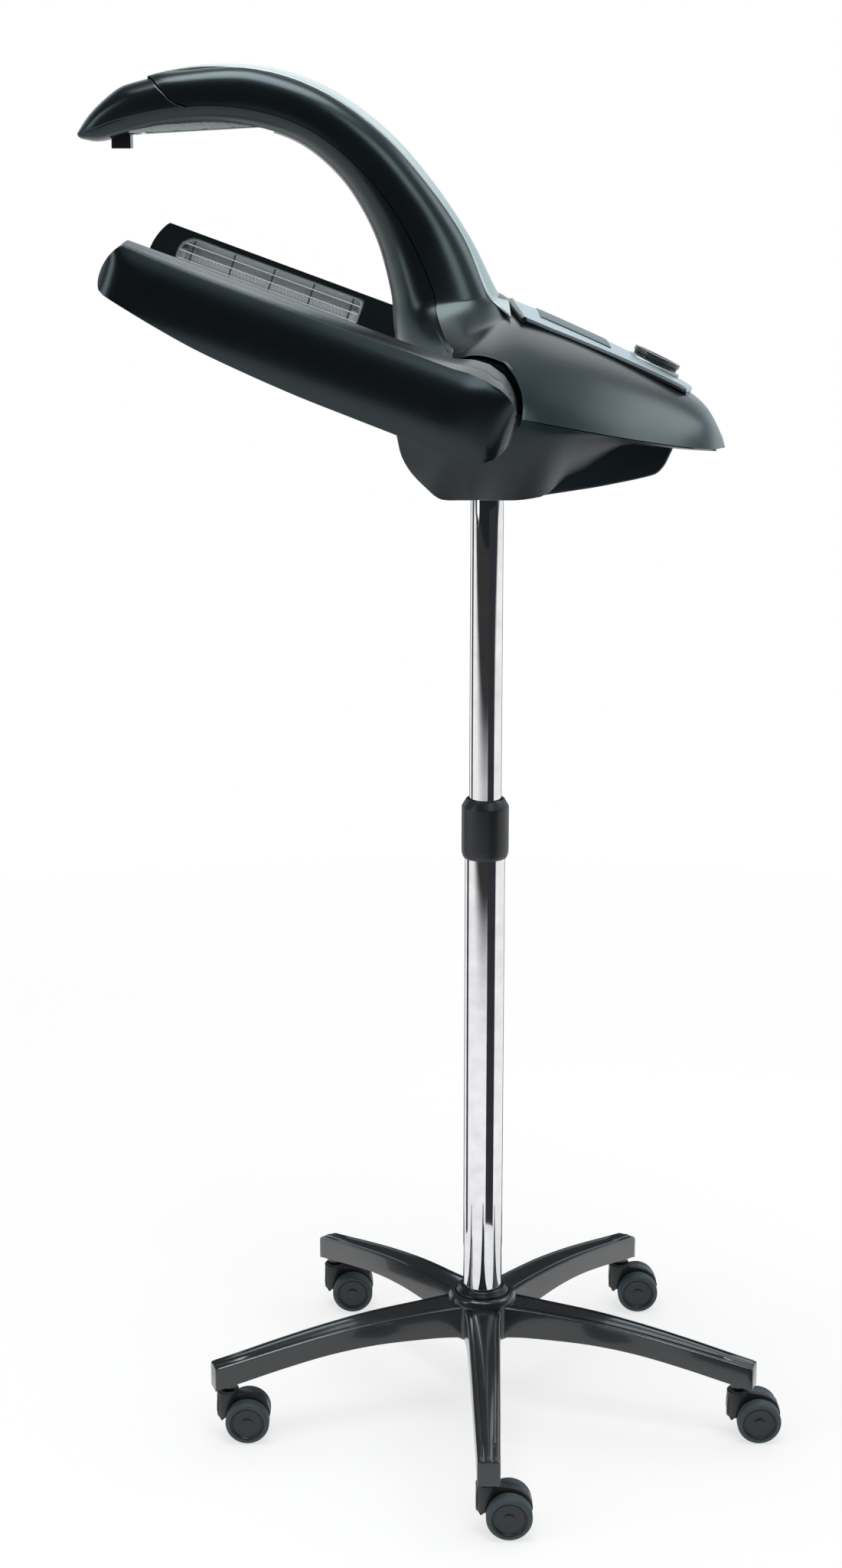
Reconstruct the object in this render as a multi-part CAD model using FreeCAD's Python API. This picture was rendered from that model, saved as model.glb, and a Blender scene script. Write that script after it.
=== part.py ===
import FreeCAD, Part
import math
import os

# Salon processor on a rolling stand: a five-leg base, a telescopic pole and a head that carries
# three infrared lamps round the client's hair.  +X is the operator's side, -X the client's,
# +Z is up, and the origin is on the floor under the axis of the pole.  Millimetres.

V = FreeCAD.Vector
UP = V(0, 0, 1)
ACROSS = V(0, 1, 0)

# ---- driving dimensions: base and castors
LEG_COUNT = 5
LEG_REACH = 325.0
CASTOR_SETBACK = 18.0
CASTOR_PITCH_R = LEG_REACH - CASTOR_SETBACK
HUB_R = 40.0
HUB_TOP = 137.0
HUB_BOTTOM = 86.0
LEG_ROOT_WIDTH = 40.0
LEG_TIP_WIDTH = 25.0
LEG_EDGE = 4.0
LEG_CHANNEL_DEPTH = 1.6
LEG_CHANNEL_SHARE = 0.42
WHEEL_D = 50.0
WHEEL_WIDTH = 17.0
WHEEL_GAP = 18.0
WHEEL_CLEARANCE = 1.5
WHEEL_DISH = 2.0
TREAD_THICKNESS = 6.0
TREAD_EDGE = 2.5
CASTOR_TRAIL = 22.0
CASTOR_HOOD_TOP = 58.5
CASTOR_NECK_D = 24.0
CASTOR_WEB = 13.0
AXLE_D = 6.0
STEM_D = 11.0
STEM_LENGTH = 24.0
SOCKET_WALL = 1.5

# ---- driving dimensions: pole
LOWER_TUBE_D = 45.0
TUBE_WALL = 2.0
UPPER_TUBE_D = 36.0
COLLAR_BOTTOM = 663.0
COLLAR_TOP = 731.0
COLLAR_D = 53.0
COLLAR_CHAMFER = 9.0
UPPER_TUBE_FOOT = 445.0
UPPER_TUBE_TOP = 1184.0
FOOT_BUSH_LENGTH = 40.0
COLLET_LENGTH = 45.0
SOCKET_D = 52.0
BASE_RING_D = 62.0
BASE_RING_HEIGHT = 7.0
TUBE_BOLT_D = 12.0

# ---- driving dimensions: head
SHELL_WALL = 3.0
PARTING_X = 28.0
PARTING_Z = 1177.0
PARTING_SLOPE = -0.2236
HOUSING_BOTTOM = 1077.0
HOUSING_HALF_WIDTH = 100.0
HOUSING_FOOT_HALF_WIDTH = 84.0
ARC_STRIP_DEPTH = 8.0
PIVOT_X = -24.0
PIVOT_Z = 1189.0
ARM_INNER_Y = 225.0
ARM_OUTER_Y = 280.0
ARM_SPLIT_Y = 246.0
ARM_TILT = 20.0
ARM_END_R = 47.5
ARM_ROOT = 60.0
ARM_LAMP_START = 131.0
ARM_LAMP_LENGTH = 222.0
ARM_TIP_LENGTH = 30.0
ARM_REACH = ARM_LAMP_START + ARM_LAMP_LENGTH + ARM_TIP_LENGTH
ARM_RECESS_GAP = 6.0
ARM_SIDE_GAP = 3.0
ARM_LUG_R = 44.0
ARM_GROOVE_DEPTH = 34.0
ARM_GROOVE_FRONT = -36.0
PIVOT_SHAFT_D = 20.0
KNOB_D = 53.0
KNOB_HEIGHT = 10.0
KNOB_X = 178.0
KNOB_BEZEL_D = 60.0
KNOB_SHAFT_D = 6.0
KNOB_LIFT = 1.6
KNOB_DISH = 1.2
ENCODER_TOP = -14.0
CHASSIS_Z = 1207.0
CHASSIS_THICKNESS = 3.0
LAMP_TUBE_D = 10.0
LAMP_SHEET = 1.2
LAMP_LIP = 2.0
GUARD_BAR = 1.6
GUARD_ROWS = 5

# ---- clearances
RUNNING = 0.05
GAP = 0.4
SLIDE_GAP = 0.35

# ---- farther out than any part of the head, for cutting planes
FAR = 600.0

os.makedirs("parts", exist_ok=True)


def save(name, *solids):
    """Write one sub-part to parts/NAME.step, as one solid or a group of separate ones."""
    shape = solids[0] if len(solids) == 1 else Part.makeCompound(list(solids))
    shape.exportStep("parts/" + name + ".step")


def tube(outer_d, inner_d, bottom, top, x=0.0, y=0.0):
    """Upright round tube, or a plain rod when inner_d is zero."""
    outer = Part.makeCylinder(outer_d / 2, top - bottom, V(x, y, bottom))
    if inner_d <= 0:
        return outer
    return outer.cut(Part.makeCylinder(inner_d / 2, top - bottom, V(x, y, bottom)))


def spline(points, periodic=False):
    """Smooth edge through points."""
    curve = Part.BSplineCurve()
    curve.interpolate([V(*p) for p in points], PeriodicFlag=periodic)
    return curve.toShape()


def polygon(points):
    """Closed wire of straight edges."""
    corners = [V(*p) for p in points]
    return Part.makePolygon(corners + corners[:1])


def slab(outline, half_width):
    """Solid whose side view is outline, a closed wire in the XZ plane, across +-half_width."""
    face = Part.Face(outline)
    face.translate(V(0, -half_width, 0))
    return face.extrude(V(0, 2 * half_width, 0))


def mix(a, b, t):
    return a + (b - a) * t


def table(stations, at):
    """Straight-line reading of a list of (position, value) pairs."""
    for (x0, y0), (x1, y1) in zip(stations, stations[1:]):
        if at <= x1:
            return mix(y0, y1, (at - x0) / (x1 - x0))
    return stations[-1][1]


def revolve(profile, start=V(0, 0, 0), axis=UP, angle=360):
    """Solid of revolution of a closed profile of (r, z) points about the Z axis."""
    face = Part.Face(polygon([(r, 0, z) for r, z in profile]))
    return face.revolve(start, axis, angle)


# ------------------------------------------------------------------ base
# side view of one leg as (share of its reach, top height, underside height)
LEG_SIDE = [(0.055, 128, 88), (0.228, 125.5, 92.5), (0.412, 121.5, 93.5), (0.585, 114.5, 89),
            (0.754, 105, 79.5), (0.895, 96, 69.5), (1.0, 89.5, 62.5)]
LEG_STATIONS = [(LEG_REACH * share, top, bottom) for share, top, bottom in LEG_SIDE]
LEG_TIP_BOTTOM = LEG_STATIONS[-1][2]


def leg_width(r):
    return mix(LEG_ROOT_WIDTH, LEG_TIP_WIDTH, (r - HUB_R) / (LEG_REACH - HUB_R))


def leg():
    """One leg along -Y, arched in side view and tapering to its tip."""
    wires = []
    for r, top, bottom in LEG_STATIONS:
        half = leg_width(r) / 2
        wires.append(polygon([(-half, -r, bottom), (half, -r, bottom), (half, -r, top - LEG_EDGE),
                              (half - LEG_EDGE, -r, top), (LEG_EDGE - half, -r, top),
                              (-half, -r, top - LEG_EDGE)]))
    body = Part.makeLoft(wires, True, False)
    channel = []
    for r, top, bottom in LEG_STATIONS[1:]:
        half = leg_width(r) / 2 * LEG_CHANNEL_SHARE
        channel.append(polygon([(-half, -r, top - LEG_CHANNEL_DEPTH), (half, -r, top - LEG_CHANNEL_DEPTH),
                                (half, -r, top + 5), (-half, -r, top + 5)]))
    return body.cut(Part.makeLoft(channel, True, False))


def at_leg(shape, i):
    """A copy of shape, made for the leg along -Y, turned to leg i."""
    turned = shape.copy()
    turned.rotate(V(0, 0, 0), UP, i * 360.0 / LEG_COUNT)
    return turned


socket_d = STEM_D + 2 * SOCKET_WALL
hub = revolve([(0, HUB_BOTTOM), (HUB_R - 3, HUB_BOTTOM), (HUB_R, HUB_BOTTOM + 3), (HUB_R, HUB_TOP - 9),
               (HUB_R - 4, HUB_TOP - 3), (HUB_R - 9, HUB_TOP), (0, HUB_TOP)])
star = hub
for i in range(LEG_COUNT):
    one = leg().cut(Part.makeCylinder(socket_d / 2, STEM_LENGTH, V(0, -CASTOR_PITCH_R, LEG_TIP_BOTTOM)))
    star = star.fuse(at_leg(one, i))
tube_seat = HUB_BOTTOM + 6
star = star.cut(Part.makeCylinder(LOWER_TUBE_D / 2, HUB_TOP, V(0, 0, tube_seat)))
star = star.cut(Part.makeCylinder(TUBE_BOLT_D / 2 + GAP, 20, V(0, 0, HUB_BOTTOM - 5)))
save("star_base", star.removeSplitter())

save("castor_sockets", *[at_leg(tube(socket_d, STEM_D + 2 * RUNNING, LEG_TIP_BOTTOM,
                                     LEG_TIP_BOTTOM + STEM_LENGTH, 0, -CASTOR_PITCH_R), i)
                         for i in range(LEG_COUNT)])
save("base_ring", revolve([(LOWER_TUBE_D / 2, HUB_TOP), (BASE_RING_D / 2, HUB_TOP),
                           (BASE_RING_D / 2 - 2, HUB_TOP + 2),
                           (LOWER_TUBE_D / 2 + 2, HUB_TOP + BASE_RING_HEIGHT),
                           (LOWER_TUBE_D / 2, HUB_TOP + BASE_RING_HEIGHT)]))

# ------------------------------------------------------------------ castors, each a hood on a stem
wheel_r = WHEEL_D / 2
hub_r = wheel_r - TREAD_THICKNESS
wheel_in = WHEEL_GAP / 2
wheel_out = wheel_in + WHEEL_WIDTH
swivel_gap = LEG_TIP_BOTTOM - CASTOR_HOOD_TOP


def castor_parts(x, y):
    """Hood, stem, wheel centres, axle and tyres of one castor whose stem is at (x, y)."""
    axle_x = x + CASTOR_TRAIL
    neck = Part.makeCylinder(CASTOR_NECK_D / 2, CASTOR_HOOD_TOP - 30, V(x, y, 30))
    web_profile = Part.makePolygon([V(x - 12, y, 20), V(x - 12, y, CASTOR_HOOD_TOP - 4),
                                    V(x + 10, y, CASTOR_HOOD_TOP - 2), V(x + 26, y, 50),
                                    V(x + 40, y, 40), V(x + 44, y, 26), V(x + 34, y, 14),
                                    V(x + 14, y, 12), V(x - 6, y, 13), V(x - 12, y, 20)])
    web = Part.Face(web_profile)
    web.translate(V(0, -CASTOR_WEB / 2, 0))
    web = web.extrude(V(0, CASTOR_WEB, 0))
    hood = neck.fuse(web)
    clear_r = wheel_r + WHEEL_CLEARANCE
    for side in (-1, 1):
        clear_from = V(axle_x, y + side * (wheel_in - 1), wheel_r)
        hood = hood.cut(Part.makeCylinder(clear_r, WHEEL_WIDTH + 20, clear_from, ACROSS * side))
    hood = hood.cut(Part.makeCylinder(AXLE_D / 2 + RUNNING, 60, V(axle_x, y - 30, wheel_r), ACROSS))
    stem_foot = CASTOR_HOOD_TOP - 16
    hood = hood.cut(Part.makeCylinder(STEM_D / 2, 40, V(x, y, stem_foot)))
    stem = Part.makeCylinder(STEM_D / 2, LEG_TIP_BOTTOM + STEM_LENGTH - 1 - stem_foot, V(x, y, stem_foot))
    axle = Part.makeCylinder(AXLE_D / 2, 2 * wheel_out - 6, V(axle_x, y - wheel_out + 3, wheel_r), ACROSS)
    centres = []
    tyres = []
    for side in (-1, 1):
        face = V(axle_x, y + side * wheel_in, wheel_r)
        disc = Part.makeCylinder(hub_r, WHEEL_WIDTH, face, ACROSS * side)
        dish_from = V(axle_x, y + side * (wheel_out - WHEEL_DISH), wheel_r)
        dish = Part.makeCylinder(hub_r - 3, WHEEL_DISH, dish_from, ACROSS * side)
        bore = Part.makeCylinder(AXLE_D / 2, WHEEL_WIDTH - 3, face, ACROSS * side)
        centres.append(disc.cut(dish).cut(bore))
        ring = Part.makeCylinder(wheel_r, WHEEL_WIDTH, face, ACROSS * side)
        ring = ring.makeFillet(TREAD_EDGE, [e for e in ring.Edges if abs(e.Length - math.pi * WHEEL_D) < 0.1])
        tyres.append(ring.cut(Part.makeCylinder(hub_r, WHEEL_WIDTH, face, ACROSS * side)))
    return hood, stem, centres, axle, tyres


for i in range(LEG_COUNT):
    angle = math.radians(i * 360.0 / LEG_COUNT - 90)
    hood, stem, centres, axle, tyres = castor_parts(CASTOR_PITCH_R * math.cos(angle),
                                                    CASTOR_PITCH_R * math.sin(angle))
    number = str(i + 1)
    save("castor_hood_" + number, hood, stem)
    save("castor_wheels_" + number, *centres, axle)
    save("castor_tyres_" + number, *tyres)

# ------------------------------------------------------------------ pole
lower_bore = LOWER_TUBE_D - 2 * TUBE_WALL
lower_top = COLLAR_TOP - COLLAR_CHAMFER - 3
save("lower_tube", tube(LOWER_TUBE_D, lower_bore, tube_seat, lower_top))

# a threaded plug welded in the tube's foot takes the bolt that clamps the base
bolt_plug_top = tube_seat + 22
plug = tube(lower_bore, TUBE_BOLT_D, tube_seat, bolt_plug_top)
bolt = tube(TUBE_BOLT_D, 0, HUB_BOTTOM - 2, bolt_plug_top - 2)
bolt = bolt.fuse(tube(TUBE_BOLT_D * 1.6, 0, HUB_BOTTOM - 9, HUB_BOTTOM - 2))
washer = tube(TUBE_BOLT_D * 2.4, TUBE_BOLT_D * 1.05, HUB_BOTTOM - 2, HUB_BOTTOM)
save("tube_plug", plug)
save("tube_bolt", bolt, washer)

# split collet that the collar squeezes on the upper tube
collet_inner = UPPER_TUBE_D + 2 * RUNNING
collet = tube(lower_bore, collet_inner, lower_top - COLLET_LENGTH, lower_top)
lip_d = LOWER_TUBE_D + 1.0
collet = collet.fuse(tube(lip_d, collet_inner, lower_top, lower_top + 4))
slot_cut = Part.makeBox(60, 1.5, COLLET_LENGTH * 0.6, V(0, -0.75, lower_top + 4 - COLLET_LENGTH * 0.6))
save("pole_collet", collet.cut(slot_cut))

collar_bore = LOWER_TUBE_D + 2 * SLIDE_GAP
top_bore = UPPER_TUBE_D + 2 * SLIDE_GAP
collar = revolve([(collar_bore / 2, COLLAR_BOTTOM), (COLLAR_D / 2 - 2, COLLAR_BOTTOM),
                  (COLLAR_D / 2, COLLAR_BOTTOM + COLLAR_CHAMFER), (COLLAR_D / 2, COLLAR_TOP - COLLAR_CHAMFER),
                  (COLLAR_D / 2 - COLLAR_CHAMFER * 0.55, COLLAR_TOP), (top_bore / 2 + 1.5, COLLAR_TOP),
                  (top_bore / 2 + 1.5, COLLAR_TOP - 2), (top_bore / 2, COLLAR_TOP - 2),
                  (top_bore / 2, lower_top + 4 + GAP), (lip_d / 2 + GAP, lower_top + 4 + GAP),
                  (lip_d / 2 + GAP, lower_top - GAP), (collar_bore / 2, lower_top - GAP)])
save("height_collar", collar)

save("upper_tube", tube(UPPER_TUBE_D, UPPER_TUBE_D - 2 * TUBE_WALL, UPPER_TUBE_FOOT, UPPER_TUBE_TOP))
foot_bore = UPPER_TUBE_D - 14
bush_low = UPPER_TUBE_FOOT - FOOT_BUSH_LENGTH / 2
bush_high = UPPER_TUBE_FOOT + FOOT_BUSH_LENGTH / 2
foot = tube(lower_bore - 2 * RUNNING, foot_bore, bush_low, UPPER_TUBE_FOOT)
foot = foot.fuse(tube(UPPER_TUBE_D - 2 * TUBE_WALL, foot_bore, UPPER_TUBE_FOOT, bush_high))
save("mast_foot_bush", foot)

# ------------------------------------------------------------------ head: curved arm over the client
# side view of the arch as matched points: outer x, z, inner x, z, half width, and how far out
# from the inner point the seam between the under shell and the upper shell runs
ARC_STATIONS = [(-432, 1452, -427, 1446, 22, 0.45), (-417, 1473, -407, 1443.5, 33, 0.43),
                (-386, 1499, -374, 1451, 43, 0.33), (-342, 1514.5, -335, 1458.5, 50, 0.31),
                (-287, 1522.5, -285, 1461, 54, 0.31), (-225, 1518.5, -237, 1455, 56, 0.28),
                (-165, 1497, -196, 1439.5, 57, 0.28), (-107, 1455.7, -160, 1410, 58, 0.31),
                (-60, 1404, -136, 1377, 59, 0.35), (-20, 1346, -117, 1337, 61, 0.38),
                (7, 1293, -104, 1288, 68, 0.41), (28, 1238, -98, 1232, 82, 0.43)]
ARC_SQUARENESS = 2.7
ARC_POINTS = 20


def arc_section(station, inset):
    """Closed section of the arch across one matched pair of points."""
    ox, oz, ix, iz, half, seam = station
    centre = V((ox + ix) / 2, 0, (oz + iz) / 2)
    rise = V(ox - ix, 0, oz - iz)
    high = rise.Length / 2 - inset
    rise.normalize()
    points = []
    for k in range(ARC_POINTS):
        angle = 2 * math.pi * k / ARC_POINTS
        c = math.cos(angle)
        s = math.sin(angle)
        across = math.copysign(abs(c) ** (2 / ARC_SQUARENESS), c) * (half - inset)
        along = math.copysign(abs(s) ** (2 / ARC_SQUARENESS), s) * high
        points.append(centre + ACROSS * across + rise * along)
    curve = Part.BSplineCurve()
    curve.interpolate(points, PeriodicFlag=True)
    return Part.Wire([curve.toShape()])


def arc_solid(inset, stations):
    return Part.makeLoft([arc_section(s, inset) for s in stations], True, False)


# sections of the rear body at x: half the top profile, from the middle outwards, as (y, z)
BODY_SECTIONS = [(-96, [(0, 1226), (60, 1222), (112, 1214), (152, 1203), (172, 1186), (178, 1160)]),
                 (-60, [(0, 1250), (60, 1244), (118, 1232), (172, 1223), (206, 1206), (218, 1160)]),
                 (-20, [(0, 1272), (60, 1266), (114, 1252), (170, 1243), (213, 1220), (228, 1160)]),
                 (24, [(0, 1275), (60, 1269), (110, 1255), (164, 1237), (214, 1203), (235, 1155)]),
                 (70, [(0, 1257), (60, 1252), (104, 1240), (154, 1221), (202, 1186), (230, 1145)]),
                 (120, [(0, 1234), (56, 1229), (96, 1218), (142, 1200), (182, 1170), (210, 1135)]),
                 (165, [(0, 1212), (50, 1208), (84, 1199), (122, 1185), (156, 1158), (180, 1125)]),
                 (205, [(0, 1190), (42, 1187), (70, 1180), (100, 1169), (126, 1146), (142, 1118)]),
                 (234, [(0, 1168), (30, 1167), (54, 1162), (77, 1152), (94, 1134), (102, 1112)]),
                 (252, [(0, 1136), (12, 1135.5), (24, 1133.5), (34, 1129.5), (41, 1121), (44, 1108)])]


def body_solid(inset):
    """Rear body, lofted along X, open downwards by running below the parting plane."""
    wires = []
    for x, profile in BODY_SECTIONS:
        at = x
        if x == BODY_SECTIONS[0][0]:
            at = x + inset
        if x == BODY_SECTIONS[-1][0]:
            at = x - inset
        half = [(max(y - inset, 0), z - inset) for y, z in profile]
        right = [(at, -y, z) for y, z in reversed(half)]
        left = [(at, y, z) for y, z in half[1:]]
        top = spline(right + left)
        low = half[-1][1] - 30
        sides = [V(*left[-1]), V(at, left[-1][1], low), V(at, right[0][1], low), V(*right[0])]
        edges = [top] + [Part.makeLine(a, b) for a, b in zip(sides, sides[1:])]
        wires.append(Part.Wire(edges))
    return Part.makeLoft(wires, True, False)


def parting_z(x):
    return PARTING_Z + (x - PARTING_X) * PARTING_SLOPE


def half_space_below():
    """Everything under the parting plane of the upper shell and the lower housing."""
    line = [(x, 0, parting_z(x)) for x in (-FAR, FAR)]
    return slab(polygon(line + [(FAR, 0, 0), (-FAR, 0, 0)]), FAR)


def arm_recess(grow):
    """Space beside the head that the round ends of the arms swing in, grown by a wall.

    Behind the rim and above the parting line it is deeper, as a groove round the lug.
    """
    r = ARM_END_R + ARM_RECESS_GAP + grow
    y = ARM_INNER_Y - ARM_SIDE_GAP - grow
    depth = 80
    shelf = half_space_below()
    shelf.translate(V(0, 0, SHELL_WALL - grow))
    spaces = []
    for side in (-1, 1):
        face = V(PIVOT_X, side * y, PIVOT_Z)
        drum = Part.makeCylinder(r, depth, face, ACROSS * side)
        near = y if side > 0 else -y - depth
        front = Part.makeBox(200, depth, 4 * r, V(PIVOT_X - 200, near, PIVOT_Z - 2 * r))
        groove = Part.makeCylinder(r, ARM_GROOVE_DEPTH, face, ACROSS * -side)
        groove = groove.cut(Part.makeCylinder(ARM_LUG_R - grow, ARM_GROOVE_DEPTH, face, ACROSS * -side))
        rear = Part.makeBox(200, FAR, 4 * r, V(ARM_GROOVE_FRONT - grow, -FAR / 2, PIVOT_Z - 2 * r))
        spaces += [drum, front, groove.common(rear).cut(shelf)]
    return spaces[0].fuse(spaces[1:])


arc_outer = arc_solid(0, ARC_STATIONS)
arc_inner = arc_solid(SHELL_WALL, ARC_STATIONS[1:])
below = half_space_below()
lug_out = ARM_INNER_Y - ARM_SIDE_GAP
lug_in = lug_out - 12.0
lugs = [Part.makeCylinder(ARM_LUG_R, lug_out - lug_in, V(PIVOT_X, side * lug_in, PIVOT_Z), ACROSS * side)
        for side in (-1, 1)]
body_outer = body_solid(0)
full = arc_outer.fuse(body_outer).cut(below).cut(arm_recess(0))
cavity = arc_inner.fuse(body_solid(SHELL_WALL)).cut(arm_recess(SHELL_WALL))
shell = full.cut(cavity).fuse(lugs)


def arc_band(near, far, first=0):
    """Region of the side view between two offsets from the outer line of the arch."""
    inside = []
    outside = []
    for ox, oz, ix, iz, half, seam in ARC_STATIONS[first:-1]:
        rise = V(ox - ix, 0, oz - iz).normalize()
        inside.append(V(ox, 0, oz) - rise * near)
        outside.append(V(ox, 0, oz) + rise * far)
    low = spline(inside)
    high = spline(outside)
    ends = [Part.makeLine(inside[-1], outside[-1]), Part.makeLine(outside[0], inside[0])]
    return Part.Wire(Part.sortEdges([low, high] + ends)[0])


seam_points = [(mix(ix, ox, seam), 0, mix(iz, oz, seam)) for ox, oz, ix, iz, half, seam in ARC_STATIONS]
seam_points = [(-470, 0, 1440)] + seam_points + [(-36, 0, 1190), (-35, 0, 1120)]
seam_corners = [V(*seam_points[-1]), V(-FAR, 0, 1120), V(-FAR, 0, 1440), V(*seam_points[0])]
seam_edges = [spline(seam_points)] + [Part.makeLine(a, b) for a, b in zip(seam_corners, seam_corners[1:])]
under_region = slab(Part.Wire(Part.sortEdges(seam_edges)[0]), FAR)
strip_region = slab(arc_band(ARC_STRIP_DEPTH, 20), FAR)
foot_half = [(-6, 43), (6, 52), (16, 68), (24, 96)]
foot_plan = [(x, -y, 1235) for x, y in foot_half] + [(x, y, 1235) for x, y in reversed(foot_half)]
strip_region = strip_region.fuse(Part.Face(polygon(foot_plan)).extrude(V(0, 0, 120)))
nose_line = [(-362, 0, 1530), (-355, 0, 1508), (-346, 0, 1497), (-336, 0, 1487), (-322, 0, 1480),
             (-300, 0, 1476)]
nose_corners = [V(*nose_line[-1]), V(-300, 0, 1400), V(-500, 0, 1400), V(-500, 0, 1530), V(*nose_line[0])]
nose_edges = [spline(nose_line)] + [Part.makeLine(a, b) for a, b in zip(nose_corners, nose_corners[1:])]
nose_region = slab(Part.Wire(Part.sortEdges(nose_edges)[0]), FAR)

under_shell = shell.common(under_region)
upper = shell.cut(under_region)
nose_cap = upper.common(nose_region)
upper = upper.cut(nose_region)
top_strip = upper.common(strip_region)
upper_shell = upper.cut(strip_region)

# ------------------------------------------------------------------ lower housing and its belly
HOUSING_SIDE = [(-97, 1230), (-97, 1150), (-92, 1127), (-81, 1108), (-52.5, HOUSING_BOTTOM),
                (32, HOUSING_BOTTOM + 0.5), (73, 1084), (114, 1090.5), (155, 1099), (176, 1104.5), (184, 1114),
                (194, 1138), (194, 1230)]
# belly at x: half its outline below the parting plane, as (y, drop below that plane)
BELLY_SECTIONS = [(-96, [(168, 0), (160, 30), (132, 78), (80, 130)]),
                  (-60, [(211, 0), (204, 26), (150, 75), (84, 124)]),
                  (-20, [(219, 0), (211, 24), (156, 68), (86, 114)]),
                  (30, [(225, 0), (214, 18), (158, 60), (87, 103)]),
                  (60, [(221, 0), (210, 15), (156, 52), (92, 86)]),
                  (80, [(218, 0), (207, 10), (152, 40), (97, 63)]),
                  (100, [(210, 0), (199, 7), (150, 29), (98, 50)]),
                  (120, [(200, 0), (190, 4), (150, 18), (98, 32)]),
                  (140, [(188, 0), (176, 3), (144, 9), (97, 15)]),
                  (165, [(170, 0), (160, 3), (132, 7), (97, 11)]),
                  (205, [(133, 0), (126, 2), (112, 4), (80, 7)]),
                  (238, [(88, 0), (84, 1.5), (74, 3), (50, 5)])]


def housing_solid(inset):
    """Lower housing: a box round the mast with a belly that spreads to the parting line."""
    side = slab(polygon([(x, 0, z) for x, z in HOUSING_SIDE]), HOUSING_HALF_WIDTH)
    top = HOUSING_SIDE[0][1]
    taper = []
    for z, width in ((HOUSING_BOTTOM - 1, HOUSING_FOOT_HALF_WIDTH), (1140, HOUSING_HALF_WIDTH - 1),
                     (top, HOUSING_HALF_WIDTH)):
        half = width - inset
        taper.append(polygon([(-FAR, -half, z), (FAR, -half, z), (FAR, half, z), (-FAR, half, z)]))
    box = side.common(Part.makeLoft(taper, True, True))
    wires = []
    for x, half in BELLY_SECTIONS:
        at = x
        if x == BELLY_SECTIONS[0][0]:
            at = x + inset
        if x == BELLY_SECTIONS[-1][0]:
            at = x - inset
        top = parting_z(x)
        right = [(at, -(y - inset), top - drop + inset) for y, drop in half]
        left = [(at, y - inset, top - drop + inset) for y, drop in reversed(half)]
        cover = [(at, half[0][0] - inset, top + 20), (at, -(half[0][0] - inset), top + 20)]
        wires.append(polygon(right + left + cover))
    belly = Part.makeLoft(wires, True, True)
    foot = [(x, 0, z) for x, z in HOUSING_SIDE[1:-4]]
    foot = slab(polygon(foot + [(FAR, 0, foot[-1][2]), (FAR, 0, 0), (-FAR, 0, 0), (-FAR, 0, foot[0][2])]), FAR)
    for move in (V(0, 0, inset), V(inset, 0, 0), V(-inset, 0, 0)):
        edge = side.copy()
        edge.translate(move)
        box = box.common(edge)
        edge = foot.copy()
        edge.translate(move)
        belly = belly.cut(edge)
    return box.fuse(belly)


above_line = [(x, 0, parting_z(x)) for x in (-FAR, FAR)]
above = slab(polygon(above_line + [(FAR, 0, 2000), (-FAR, 0, 2000)]), FAR)
lug_clear = [Part.makeCylinder(ARM_LUG_R + GAP, 80, V(PIVOT_X, side * (lug_in - GAP), PIVOT_Z), ACROSS * side)
             for side in (-1, 1)]
housing = housing_solid(0).cut(above).cut(arm_recess(0))
housing = housing.cut(housing_solid(SHELL_WALL)).cut(lug_clear[0]).cut(lug_clear[1])
mast_hole_r = UPPER_TUBE_D / 2 + 2.0
housing = housing.cut(Part.makeCylinder(mast_hole_r, 40, V(0, 0, HOUSING_BOTTOM - 10)))


# ------------------------------------------------------------------ control panel and knob
# panel top at x: height in the middle, half width, height at the edge
PANEL_SECTIONS = [(24, 1279.5, 96, 1269), (60, 1265.5, 95, 1253.5), (112, 1242.5, 88, 1230),
                  (150, 1225, 81, 1215), (190, 1204, 73, 1197), (218, 1188.5, 62, 1185)]
WINDOW_FRONT = 54.0
WINDOW_REAR = 127.0
WINDOW_HALF_WIDTH = 60.0
WINDOW_RISE = 1.2
PANEL_TILT = 25.4
PANEL_THICKNESS = 3.0
KNOB_CENTRE_Z = 1212.0


def panel_solid(rise):
    """Block whose top is the panel's crowned face, raised by rise."""
    wires = []
    for x, middle, half, edge in PANEL_SECTIONS:
        top = spline([(x, -half, edge + rise), (x, -half * 0.55, mix(middle, edge, 0.3) + rise),
                      (x, 0, middle + rise), (x, half * 0.55, mix(middle, edge, 0.3) + rise),
                      (x, half, edge + rise)])
        low = middle - 60
        rest = [V(x, half, edge + rise), V(x, half, low), V(x, -half, low), V(x, -half, edge + rise)]
        wires.append(Part.Wire([top] + [Part.makeLine(a, b) for a, b in zip(rest, rest[1:])]))
    return Part.makeLoft(wires, True, False)


def on_panel(shape):
    """Move a shape made on the Z axis to the knob's axis on the sloping panel."""
    moved = shape.copy()
    moved.rotate(V(0, 0, 0), ACROSS, PANEL_TILT)
    moved.translate(V(KNOB_X, 0, KNOB_CENTRE_Z))
    return moved


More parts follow.
